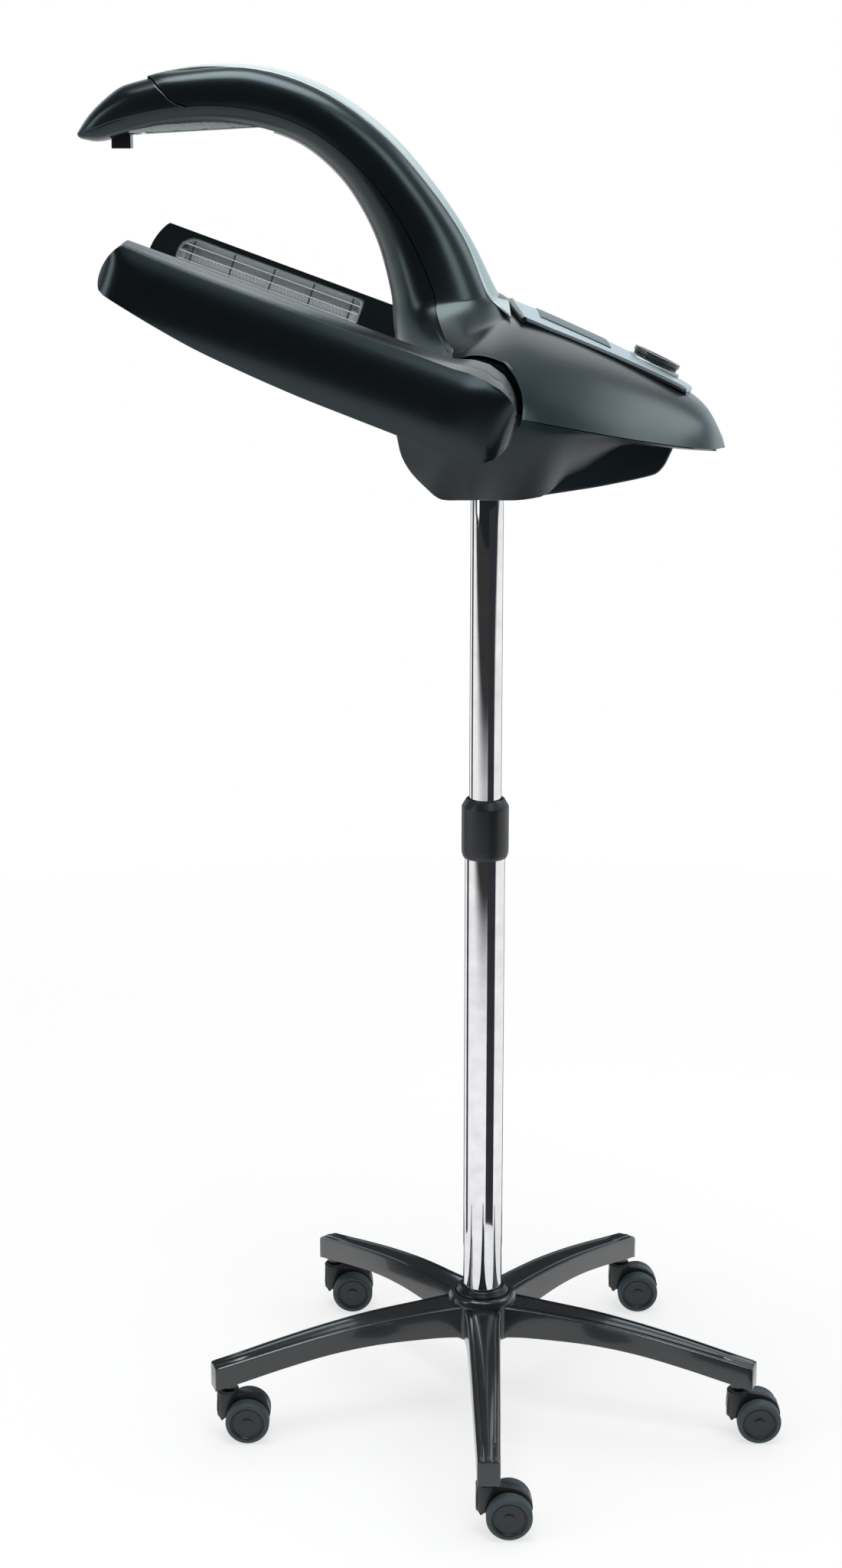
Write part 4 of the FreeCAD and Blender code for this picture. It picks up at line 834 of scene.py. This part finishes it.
under_keys = [under_row(at) for at in (0, 0.5, 1, 2, 3, 4, 5, 6, 7, 8, 9, 10)]
under_steps = [2, 2, 4, 5, 5, 5, 4, 4, 4, 5, 5]
FRONT_DROP, FRONT_MIDDLE, FRONT_HALF = 8.0, 0.55, 178.0
front = body_row(0.0, 1.52, 2.9, UNDER_COLUMNS, 1.6)
foot = []
for p, share in zip(front, between(0, 1, UNDER_COLUMNS)):
    p.x -= 1.5 * (1 - share)
    p.z -= FRONT_DROP * (1 - share ** 3)
    at = 1.5 * max(share - FRONT_MIDDLE, 0) / (1 - FRONT_MIDDLE)
    low = body_point(at, body_edge(at))
    y = low.y if at > 0 else 0.97 * FRONT_HALF * share / FRONT_MIDDLE
    foot.append(Vector((low.x - 0.5, y, parting_z(low.x) + 0.3)))
under_keys += foot_rows(under_keys[-1], front) + [front, foot]
under_steps += [3, 3, 3, 4, 5]
under_rows = denser(under_keys, under_steps)
tip = Vector((*NOSE_TIP, 1448.5))
under_rows.insert(0, [tip + (p - tip) * 0.55 for p in under_rows[0]])
under = whole(under_rows)
bmesh.ops.reverse_faces(under, faces=under.faces)
under = recessed(walled(under))
low, high = (Vector(corner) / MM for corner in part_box("top_guard"))
under = carved(under, box_at((low.x, low.y, low.z - 20), (high.x, high.y, low.z + 20)))


def seam_tongue(side):
    """A strip inside the under shell's edge that closes the seam from behind and goes on down the foot."""
    rows = []
    corners = ((-1, TONGUE_NEAR), (1, TONGUE_NEAR), (1, TONGUE_FAR), (-1, TONGUE_FAR))
    for at in between(1, 10, 60):
        middle = (arch_point(at, math.pi / 2) + arch_point(at, -math.pi / 2)) / 2
        loop = []
        for end, depth in corners:
            p = arch_point(at, seam_angle(at) + TONGUE_TURN * end)
            loop.append(p + (middle - p).normalized() * depth)
        rows.append(loop)
    for row in upper_rows[sum(upper_steps[:8]) + 2:sum(upper_steps[:12])]:
        p = row[-1]
        inwards = Vector((0, -0.55 * p.y, -40)).normalized()
        rows.append([p + inwards * depth + Vector((TONGUE_HALF * end, 0, 0)) for end, depth in corners])
    return capped([[(p.x, side * p.y, p.z) for p in loop] for loop in rows])


for side in (-1, 1):
    add(under, seam_tongue(side))
piece("under_shell_skin", under, "head", satin_black, ["under_shell"], sharp=38)

# ---------------------------------------------------------------- silver strip
# A moulded strip, painted silver and clipped into the arch's sunk crown. It widens at its foot to meet the
# control panel.
def strip_row(at):
    """Half section of the strip, from the middle to its edge."""
    return [arch_point(at, a, 0.1) for a in between(math.pi / 2, strip_angle(at) + 0.012, STRIP_COLUMNS)]


strip_keys = [strip_row(at) for at in (CAP_START + 0.01, 3.2, 4, 5, 6, 7, 8, 9, 10)]
for x, z, half, edge_x, edge_z in ((14, 1284.5, 64, 10, 1277), (21, 1280.5, 93, 21, 1268.5)):
    strip_keys.append([Vector((x + (edge_x - x) * t * t, half * t, z + (edge_z - z) * t ** 2.2))
                       for t in between(0, 1, STRIP_COLUMNS)])
strip = whole(denser(strip_keys, [3, 4, 4, 4, 4, 4, 4, 5, 4, 4]))
thicken(piece("silver_strip", strip, "head", silver, ["top_strip"], sharp=180), 2.2, rim=0.6)

# ---------------------------------------------------------------- lower housing
# The lower cover hangs under the body: a tapering box round the pole's top with a belly that flares out to
# meet the upper shell at the parting line, which it sits just inside. Same black plastic, finer texture.
FLOOR = 1077.0
HOUSING_SIDE = [(-97, 1230), (-97, 1150), (-92, 1127), (-81, 1108), (-52.5, FLOOR), (32, FLOOR + 0.5),
                (73, 1084), (114, 1090.5), (155, 1099), (176, 1104.5), (184, 1114), (194, 1138),
                (194, 1230)]
# belly at x: half its outline as (y, drop below the parting plane)
BELLY = [(-96, [(168, 0), (160, 30), (132, 78), (80, 130)]),
         (-60, [(211, 0), (204, 26), (150, 75), (84, 124)]),
         (-20, [(219, 0), (211, 24), (156, 68), (86, 114)]),
         (30, [(225, 0), (214, 18), (158, 60), (87, 103)]),
         (60, [(221, 0), (210, 15), (156, 52), (92, 86)]), (80, [(218, 0), (207, 10), (152, 40), (97, 63)]),
         (100, [(210, 0), (199, 7), (150, 29), (98, 50)]), (120, [(200, 0), (190, 4), (150, 18), (98, 32)]),
         (140, [(188, 0), (176, 3), (144, 9), (97, 15)]), (165, [(170, 0), (160, 3), (132, 7), (97, 11)]),
         (205, [(133, 0), (126, 2), (112, 4), (80, 7)]), (238, [(88, 0), (84, 1.5), (74, 3), (50, 5)])]
HOUSING_TOP_HALF, HOUSING_FOOT_HALF = 100.0, 84.0
HOUSING_SIDE_LOOP = rounded(HOUSING_SIDE, 9.0)
MAST_HOLE = 20.0
INLET_X, INLET_FLOOR, INLET_HALF_X, INLET_HALF_Y = 132.0, 1094.2, 10.0, 13.5
PARTING_GAP = 0.4


def reading(points, at):
    """A smooth curve through (a, b) points, read at a."""
    k = max(0, min(len(points) - 2, sum(1 for p in points[1:-1] if p[0] <= at)))
    (a0, b0), (a1, b1) = points[k], points[k + 1]
    before, after = points[max(k - 1, 0)], points[min(k + 2, len(points) - 1)]
    span = a1 - a0
    s0 = (b1 - before[1]) / (a1 - before[0]) * span
    s1 = (after[1] - b0) / (after[0] - a0) * span
    t = (at - a0) / span
    return b0 + t * (s0 + t * (3 * (b1 - b0) - 2 * s0 - s1 + t * (2 * (b0 - b1) + s0 + s1)))


def belly_row(x, inset):
    """Half section of the belly, from above the parting line round its lower edge to the middle."""
    sides = [tuple(reading([(at, side[j][part]) for at, side in BELLY], x) for part in (0, 1))
             for j in range(4)]
    top = parting_z(x)
    line = [p for p in HOUSING_SIDE_LOOP if p[1] < 1151 and p[0] < 176]  # the floor's side view
    ahead = next((k for k in range(1, len(line) - 1) if line[k][0] > x), len(line) - 1)
    (x0, z0), (x1, z1) = line[ahead - 1], line[ahead]
    low = max(z0 + (z1 - z0) * min(max((x - x0) / (x1 - x0), 0), 1), top - sides[3][1])
    end = next((k / 60 for k in range(181) if top - flow(sides, k / 60)[1] <= low), 3.0)
    half = [flow(sides, t) for t in between(0, end * 0.97, 12)]
    half = [(y, top - drop) for y, drop in half]
    corner = (flow(sides, end)[0], low)
    half += rounded([half[-1], corner, (0, low)], 7.0, steps=4)[5:-5] + [(0, low)]
    edge = {-97: 3.0, -96.4: 1.3, -95.2: 0.4}.get(x, 0.0)
    half = [(half[0][0], top + 20)] + half
    at = min(max(x + inset * (1 - ease((x + 97) / 60)), inset - 97), 238 - inset)
    return [(at, max(y - inset - edge, 0), z + inset + edge) for y, z in half]


def housing_form(inset):
    """The housing's outside, or its inside when inset by the wall."""
    form = slab(HOUSING_SIDE_LOOP, inset - HOUSING_TOP_HALF, HOUSING_TOP_HALF - inset)
    for vert in form.verts:
        height = min(max((vert.co.z / MM - FLOOR) / (1140 - FLOOR), 0), 1)
        half = HOUSING_FOOT_HALF + (HOUSING_TOP_HALF - HOUSING_FOOT_HALF) * height
        vert.co.y *= half / HOUSING_TOP_HALF
        if inset:
            vert.co.x += math.copysign(inset * MM, 50 * MM - vert.co.x)
            vert.co.z += inset * MM
    if not inset:
        soften(form, 4.0, angle=50, segments=4)
    places = [-97, -96.4, -95.2, -94, -92, -89, -86, -83, -80, -76, -71, -65, -59, -54, -50, -46, -42]
    places += [-36 + 9 * k for k in range(31)] + [238]
    rows = []
    for x in places:
        row = belly_row(x, inset)
        rows.append(row + [(x, -y, z) for x, y, z in row[-2::-1]])
    return carved(form, capped(rows), "UNION")


hollow = housing_form(SHELL_WALL)
for side in (-1, 1):
    hollow = carved(hollow, recess(side, SHELL_WALL))
housing = carved(housing_form(0.0), hollow)
above = [(-600, parting_z(-600) - PARTING_GAP), (500, parting_z(500) - PARTING_GAP), (500, 2000),
         (-600, 2000)]
housing = recessed(carved(housing, slab(above, -400, 400)))
housing = carved(housing, rod(MAST_HOLE, (0, 0, FLOOR - 10), (0, 0, FLOOR + 20), 64))
housing = carved(housing, box_at((INLET_X - INLET_HALF_X, -INLET_HALF_Y, INLET_FLOOR - 20),
                                 (INLET_X + INLET_HALF_X, INLET_HALF_Y, INLET_FLOOR + 30)))
piece("lower_housing_cover", housing, "head", lower_black, ["lower_housing"], sharp=28)

# ---------------------------------------------------------------- mains inlet
# A moulded black appliance inlet with three blade pins, let into the housing's floor behind the pole, where
# the lead plugs in from below.
repaint(ring_black, "mains_inlet")

# ---------------------------------------------------------------- control panel
# A silver-painted plate on a black seat, crowned across its width, with a dark lip at its front end. The
# display sits in it under a smoked window, and the knob turns on a silver ring near its rear end.
# panel top at x: height in the middle, half width, height at the edge
PANEL = [(24, 1279.5, 96, 1269), (60, 1265.5, 95, 1258), (112, 1242.5, 88, 1237), (150, 1225, 81, 1220.5),
         (190, 1204, 73, 1202), (218, 1188.5, 62, 1187.5)]
PANEL_COLUMNS = 8
WINDOW_FRONT, WINDOW_REAR, WINDOW_HALF, WINDOW_PLAY = 54.0, 127.0, 60.0, 0.4
PANEL_WALL, SEAT_WALL, SEAT_DROP, SEAT_INSET, FRONT_BOW = 3.4, 3.0, 3.6, 1.6, 11.0


def panel_point(at, share, rise=0.0, inset=0.0):
    """Point of the panel's crowned face at a fractional station, a share of the way to its edge."""
    x, middle, half, edge = flow(PANEL, at)
    x += math.copysign(inset, 121 - x) * (1 if at in (0, len(PANEL) - 1) else 0)
    return Vector((x, (half - inset) * share, middle + (edge - middle) * share ** 2 + rise))


def front_sweep(at, share):
    """How far back the panel's bowed front edge lies at a share of the way to its corner."""
    return FRONT_BOW * max(1 - at, 0) * share ** 2


def panel_sheet(rise, inset):
    """The panel's face as a sheet, raised, and drawn in along its edge."""
    rows = []
    for at in between(0.0, 5.0, 24):
        row = []
        for share in between(0, 1, PANEL_COLUMNS):
            p = panel_point(at, share, rise, inset)
            p.x += front_sweep(at, share) - 10 * ease(1 - (5 - at) / 0.6) * share ** 3
            row.append(p)
        rows.append(row)
    return whole(rows)


def station_at(x):
    """Fractional panel station at which the panel has the given x."""
    k = next(k for k in range(len(PANEL) - 1) if PANEL[k + 1][0] >= x)
    return k + (x - PANEL[k][0]) / (PANEL[k + 1][0] - PANEL[k][0])


PANEL_TILT = 25.4
KNOB_AT = (178.0, 0.0, 1212.0)
KNOB_RADIUS, KNOB_HEIGHT, KNOB_LIFT, KNOB_WAIST = 26.5, 10.0, 1.6, 24.0
SPINDLE_HOLE = 6.0


def on_panel(bm):
    """Move a piece made on the Z axis to the knob's axis on the sloping panel."""
    return move(bm, KNOB_AT, Matrix.Rotation(math.radians(PANEL_TILT), 3, "Y"))


panel = walled(panel_sheet(0.0, 0.0), PANEL_WALL)
panel = carved(panel, box_at((WINDOW_FRONT, -WINDOW_HALF, 1150), (WINDOW_REAR, WINDOW_HALF, 1350)))
panel = carved(panel, on_panel(rod(SPINDLE_HOLE, (0, 0, -20), (0, 0, 20))))
panel_silver = moulding("panel_silver", (0.28, 0.34, 0.37), 0.34, grain=0.0005, depth=0.00002, marks=0.03,
                        metallic=0.45)
piece("panel_plate", panel, "head", panel_silver, ["panel_surround"], sharp=30)
seat = walled(panel_sheet(-SEAT_DROP, SEAT_INSET), SEAT_WALL)
seat = carved(seat, on_panel(rod(SPINDLE_HOLE, (0, 0, -30), (0, 0, 20))))
piece("panel_seat", seat, "head", ring_black, sharp=30)

LIP_LOOP = rounded([(-3.6, -4.5), (2.2, -4.5), (2.2, 1.5), (-3.6, 0.6)], 1.8)
lip_rows = []
for share in between(-1, 1, 32):
    back = front_sweep(0, share)
    p = panel_point(back / 36, share)
    lip_rows.append([(PANEL[0][0] + back + a, p.y, p.z + b) for a, b in LIP_LOOP])
piece("panel_front_lip", capped(lip_rows), "head", ring_black, sharp=40)

glass_rows = []
for at in between(station_at(WINDOW_FRONT + WINDOW_PLAY), station_at(WINDOW_REAR - WINDOW_PLAY), 10):
    half = flow(PANEL, at)[2]
    glass_rows.append([panel_point(at, y / half, 1.2) for y in between(0, WINDOW_HALF - WINDOW_PLAY, 8)])
display = moulding("display_glass", (0.045, 0.065, 0.075), 0.34, grain=0.002, depth=0.000002, marks=0.02,
                   ior=1.22)
piece("display_cover", walled(whole(glass_rows), wall=3.0), "head", display,
      ["display_window"], sharp=30)

# ---------------------------------------------------------------- knob
# A black selector knob pushed on its encoder's shaft: a cap with a dished top over a fluted waist. It turns
# just above a silver bezel ring in the panel.
knob = turned(rounded([(0.01, 8.8), (20.5, 8.8), (21.5, KNOB_HEIGHT), (KNOB_RADIUS, KNOB_HEIGHT),
                       (KNOB_RADIUS, 5.2), (KNOB_WAIST, 4.6), (KNOB_WAIST, KNOB_LIFT), (3.0, KNOB_LIFT),
                       (3.0, -20.0), (0.01, -20.0)], 0.8))
FLUTES = 48
for k in range(FLUTES):
    flute = box_at((KNOB_WAIST - 0.5, -0.7, KNOB_LIFT), (KNOB_WAIST + 1.0, 0.7, 4.6))
    add(knob, move(flute, turn=Matrix.Rotation(2 * math.pi * k / FLUTES, 3, "Z")))
knob_black = moulding("knob_black", (0.020, 0.026, 0.030), 0.30, grain=0.0008, depth=0.00003, marks=0.06,
                      coat=0.3)
piece("selector_knob", on_panel(knob), "knob", knob_black, ["control_knob"], sharp=35)
bezel = turned(rounded([(3.4, -4.0), (29.0, -4.0), (30.0, -1.0), (29.4, 0.6), (27.6, 1.0), (25.5, 0.4),
                        (3.4, 0.4)], 0.6))
piece("knob_bezel_ring", on_panel(bezel), "head", silver, ["knob_bezel"], sharp=40)
board_green = moulding("board_green", (0.03, 0.12, 0.06), 0.4, marks=0.08)
repaint(board_green, "control_board")
repaint(steel, "knob_encoder")

# ---------------------------------------------------------------- infrared lamps
# Three alike: a folded reflector of hammered aluminium, a quartz tube with a coiled filament held in
# ceramic blocks, and a welded wire guard, round at one end. All are made facing +Z along X, then placed.
FACET = 0.0035
reflector_metal, tree, shader = new_paint("reflector_metal", Base_Color=(0.52, 0.57, 0.57, 1.0),
                                          Roughness=0.45, Metallic=0.35)
spot = node_of(tree, "ShaderNodeTexCoord").outputs["Object"]
facets = node_of(tree, "ShaderNodeTexVoronoi", Vector=spot, Scale=1.0 / FACET)
dents = node_of(tree, "ShaderNodeBump", Strength=1.0, Distance=0.0006, Height=facets.outputs["Distance"])
tree.links.new(dents.outputs[0], shader.inputs["Normal"])
guard_wire = moulding("guard_wire", (0.62, 0.66, 0.67), 0.28, grain=0.001, depth=0.00001, marks=0.04,
                      metallic=0.8)
# The guard's cross bars are the same steel as its wires. Their darker colour is painted shade, standing in
# for the shadow and dark reflections on them.
guard_bar_painted_shade = moulding("guard_bar_painted_shade", (0.10, 0.12, 0.13), 0.35, grain=0.001, depth=0.00001, marks=0.04,
                     metallic=0.8)
ceramic = moulding("ceramic_white", (0.50, 0.52, 0.50), 0.5, grain=0.0006, depth=0.00002, marks=0.08)
filament = moulding("filament", (0.60, 0.63, 0.64), 0.45, marks=0.05)
quartz = new_paint("quartz", Base_Color=(0.93, 0.96, 0.97, 1.0), Roughness=0.06, Alpha=0.22)[0]


def guard_outline(length, width, inset):
    """Outline of the guard seen from in front: round at the -X end, with small corners at the other."""
    half_l, half_w = length / 2 - inset, width / 2 - inset
    blunt, small = half_w * 0.94, 6.0
    left, right = blunt - half_l, half_l - small
    loop = []
    for x, y, r, start in ((right, half_w - small, small, 0), (left, half_w - blunt, blunt, 90),
                           (left, blunt - half_w, blunt, 180), (right, small - half_w, small, 270)):
        for angle in between(start, start + 90, 8):
            a = math.radians(angle)
            loop.append((x + r * math.cos(a), y + r * math.sin(a)))
    return loop


def tray(length, width, depth, wall):
    """Folded trough open towards +Z, with closed ends."""
    top, bed = -2.2, width / 2 - 9
    fold = top - depth * 0.25
    rows = []
    for inset, z in ((bed, -depth), (0, fold), (0, top), (wall, top), (wall, fold),
                     (bed + wall, wall - depth)):
        x, y = length / 2 - min(inset, 6), width / 2 - inset
        rows.append([(-x, -y, z), (x, -y, z), (x, y, z), (-x, y, z)])
    return capped(rows)


def coil(length, radius, turns, wire):
    """A wire coiled round X."""
    rows = []
    for k in range(turns * 10 + 1):
        a = 2 * math.pi * k / 10
        x = length * (k / (turns * 10) - 0.5)
        out = Vector((0, math.cos(a), math.sin(a)))
        rows.append([Vector((x, 0, 0)) + out * (radius + wire * math.cos(b))
                     + Vector((wire * math.sin(b), 0, 0)) for b in (0.5, 2.6, 4.7)])
    return capped(rows)


FRAME_WIDTH, WIRES, WIRE_RADIUS, BARS, BAR_HALF = 2.7, 4, 0.6, 5, 0.9
TUBE_RADIUS, COIL_RADIUS, COIL_WIRE = 5.0, 3.0, 0.55


def lamp_pieces(length, width, depth):
    """The lamp's pieces as (node suffix, bmesh, slot, material)."""
    middle = -depth * 0.52
    frame_loop = ((0.6, -2), (0, -1.4), (0, -0.6), (0.6, 0), (2.2, 0), (FRAME_WIDTH, -0.6),
                  (FRAME_WIDTH, -1.4))
    guard = capped([[(x, y, z) for x, y in guard_outline(length, width, inset)] for inset, z in frame_loop])
    inner = capped([[(x, y, z) for x, y in guard_outline(length, width, FRAME_WIDTH)] for z in (-5, 5)])
    guard = carved(guard, inner)
    for k in range(1, WIRES + 1):
        y = -width / 2 + width * k / (WIRES + 1)
        add(guard, rod(WIRE_RADIUS, (-length / 2 + 3, y, -0.9), (length / 2 - 2, y, -0.9), 8))
    bars = bmesh.new()
    for x in between(17 - length / 2, length / 2 - 13, BARS - 1):
        add(bars, box_at((x - BAR_HALF, 2 - width / 2, -2.6), (x + BAR_HALF, width / 2 - 2, -1.7)))
    holders = bmesh.new()
    for x in (6 - length / 2, length / 2 - 6):
        add(holders, soften(box_at((x - 4, -6.5, 1.4 - depth), (x + 4, 6.5, middle + 7)), 0.8))
    glass = rod(TUBE_RADIUS, (7 - length / 2, 0, middle), (length / 2 - 7, 0, middle), 24)
    wire = move(coil(length - 36, COIL_RADIUS, int(length / 5), COIL_WIRE), (0, 0, middle))
    return [("guard", guard, "guard_wire", guard_wire), ("guard_bars", bars, "guard_wire", guard_bar_painted_shade),
            ("reflector", tray(length, width, depth, 1.0), "reflector", reflector_metal),
            ("lamp_holders", holders, "ceramic_white", ceramic), ("lamp", glass, "quartz", quartz),
            ("filament", wire, "aluminium", filament)]


def placed_along(bm, origin, along, outwards):
    """Turn a piece so that its X runs along and its Z outwards, and move it to origin in millimetres."""
    return move(bm, origin, Matrix((along, outwards.cross(along), outwards)).transposed())


TOP_LAMP_SIZE, TOP_LAMP_TIP, TOP_LAMP_SLOPE = (150.0, 58.0, 26.0), (-375.0, 0, 1450.2), math.radians(3.2)
along = Vector((math.cos(TOP_LAMP_SLOPE), 0, math.sin(TOP_LAMP_SLOPE)))
down = Vector((along.z, 0, -along.x))
top_spot = Vector(TOP_LAMP_TIP) + along * TOP_LAMP_SIZE[0] / 2
for kind, bm, slot, paint in lamp_pieces(*TOP_LAMP_SIZE):
    node = "top_" + kind
    piece(node + "_fitted", placed_along(bm, top_spot, along, down), "head", paint,
          [node] if node in nodes else [])

# ---------------------------------------------------------------- sensor
# A small black plastic box under the arch's tip. Its round lens of dark red plastic looks down at the hair
# and reads its warmth.
repaint(ring_black, "sensor_box")
repaint(moulding("sensor_lens", (0.05, 0.012, 0.016), 0.08, marks=0.02, coat=0.8), "sensor_lens")

# ---------------------------------------------------------------- side arms
# Two mirrored arms that turn on pivots in the body's sides. Each is an outer cover, whose top slopes out to
# a soft ridge, and a flat inner cover that carries the lamp; both are black plastic with a satin face.
# side view of a level arm, x from the pivot towards the tip: top x, z, bottom x, z, bow, skew of the bow,
# and how far the outer cover's ridge lies below the inner face's top edge
ARM = [(-5, 46.5, -12, -47.5, -41.5, 1.1, 14), (12, 45.4, 2, -48.5, -32, 1.05, 11),
       (33, 39.8, 30, -47.3, -17, 1, 6.5), (62, 38.6, 62, -46.2, -8, 1, 5),
       (110, 38.6, 110, -45, -3, 1, 5.5), (163, 38.6, 163, -43.5, 0, 1, 6),
       (218, 38.6, 218, -39.8, 0.5, 1.1, 6.5), (272, 38.6, 272, -34.4, 1.5, 1.2, 6.5),
       (318, 38.6, 318, -26.6, 4, 1.3, 6), (350, 38.6, 350, -20.2, 8, 1.4, 5),
       (370, 38.6, 372, -15.8, 11.5, 1.5, 4)]
ARM_FACE = 225.0
ARM_SECTION = [(-60, 261), (-44, 268), (-28, 276.5), (-10, 280), (6, 279), (22, 274.5), (34, 268),
               (44, 264)]
ARM_PLAN = [(-50, 240), (-42, 259), (-26, 272), (0, 278.6), (60, 280.6), (200, 281), (320, 280),
            (362, 276), (378, 267), (385, 257)]
ARM_SPLIT, ARM_TILT = 246.0, 20.0
ARM_COLUMNS = 14


def arm_form(inset):
    """Closed form of an arm laid level along -X on the +Y side, pivot at the origin, inset by a wall."""
    rows = []
    last = len(ARM) - 1
    for at in between(0, last, 4 * last):
        tx, tz, bx, bz, bow, skew, ridge = flow(ARM, at)
        tz, bz = tz - inset, bz + inset
        bow -= math.copysign(inset, bow) * ease(abs(at / last - 0.5) * 6 - 2)
        outer, inner = [], []
        for even in between(0, 1, ARM_COLUMNS):
            share = 0.35 * ease(even) + 0.65 * even
            round_off = math.sqrt(max(1 - (1 - 2 * share ** skew) ** 2, 0))
            x = tx + (bx - tx) * share + bow * round_off
            z = tz + (bz - tz) * share
            low_z = z - ridge * (1 - share) ** 3
            a, b = reading(ARM_SECTION, low_z), reading(ARM_PLAN, x)
            y = (a + b) / 2 - math.hypot((a - b) / 2, 2.0 + 5.0 * ease((16 - x) / 36)) - inset
            outer.append((-x, y, low_z))
            inner.append((-x, ARM_FACE + inset, z))
        rows.append(outer + inner[::-1])
    bm = skin([[Vector(p) * MM for p in row] for row in rows], closed=True)
    bm.verts.ensure_lookup_table()
    for at_tip in (False, True):
        edge = [v for v in bm.verts if v.is_boundary and (v.co.x < -0.2) == at_tip]
        edge.sort(key=lambda v: -v.co.z)
        outers = [v for v in edge if v.co.y > (ARM_FACE + inset + 0.5) * MM]
        inners = [v for v in edge if v.co.y <= (ARM_FACE + inset + 0.5) * MM]
        for a, b, c, d in zip(outers, outers[1:], inners[1:], inners):
            bm.faces.new((a, b, c, d))
    bmesh.ops.recalc_face_normals(bm, faces=bm.faces)
    return bm


arm_black = moulding("arm_black", (0.004, 0.0055, 0.007), 0.24, grain=0.0009, depth=0.00003, marks=0.05,
                     tint=SHEEN)
arm_inner_black = moulding("arm_inner_black", (0.004, 0.0055, 0.007), 0.30, grain=0.0009, depth=0.00004,
                           marks=0.05, tint=SHEEN)
ARM_LAMP_SIZE, ARM_LAMP_X, ARM_LAMP_Z, LAMP_PLAY = (222.0, 46.0, 30.0), -242.0, 9.5, 1.0
COVER_LAP = 0.25


def to_pivot(bm, side):
    """Mirror for the left hand, tilt to the working angle and move to the pivot."""
    if side < 0:
        bmesh.ops.scale(bm, verts=bm.verts, vec=(1, -1, 1))
        bmesh.ops.reverse_faces(bm, faces=bm.faces)
    return move(bm, PIVOT, Matrix.Rotation(math.radians(ARM_TILT), 3, "Y"))


for hand, side in (("right", 1), ("left", -1)):
    body = "arm_" + hand
    outer = carved(soften(arm_form(0.0), 2.2, angle=32, segments=4), arm_form(SHELL_WALL))
    inner = outer.copy()
    outer = carved(outer, box_at((-450, 150, -100), (100, ARM_SPLIT + COVER_LAP, 100)))
    inner = carved(inner, box_at((-450, ARM_SPLIT - COVER_LAP, -100), (100, 350, 100)))
    lamp_edge = guard_outline(ARM_LAMP_SIZE[0] + LAMP_PLAY, ARM_LAMP_SIZE[1] + LAMP_PLAY, 0)
    opening = capped([[(x + ARM_LAMP_X, y, z + ARM_LAMP_Z) for x, z in lamp_edge] for y in (200, 260)])
    inner = carved(carved(inner, opening), rod(8.3, (0, 200, 0), (0, 260, 0)))
    for half, bm, paint in (("outer", outer, arm_black), ("inner", inner, arm_inner_black)):
        piece("arm_%s_cover_%s" % (half, hand), to_pivot(bm, side), body, paint,
              ["arm_%s_%s" % (half, hand)], sharp=32)
    for kind, bm, slot, paint in lamp_pieces(*ARM_LAMP_SIZE):
        lamp = placed_along(bm, (ARM_LAMP_X, ARM_FACE + 1.0, ARM_LAMP_Z), Vector((1, 0, 0)),
                            Vector((0, -1, 0)))
        node = "arm_%s_%s" % (kind, hand)
        piece(node + "_fitted", to_pivot(lamp, side), body, paint, [node] if node in nodes else [])
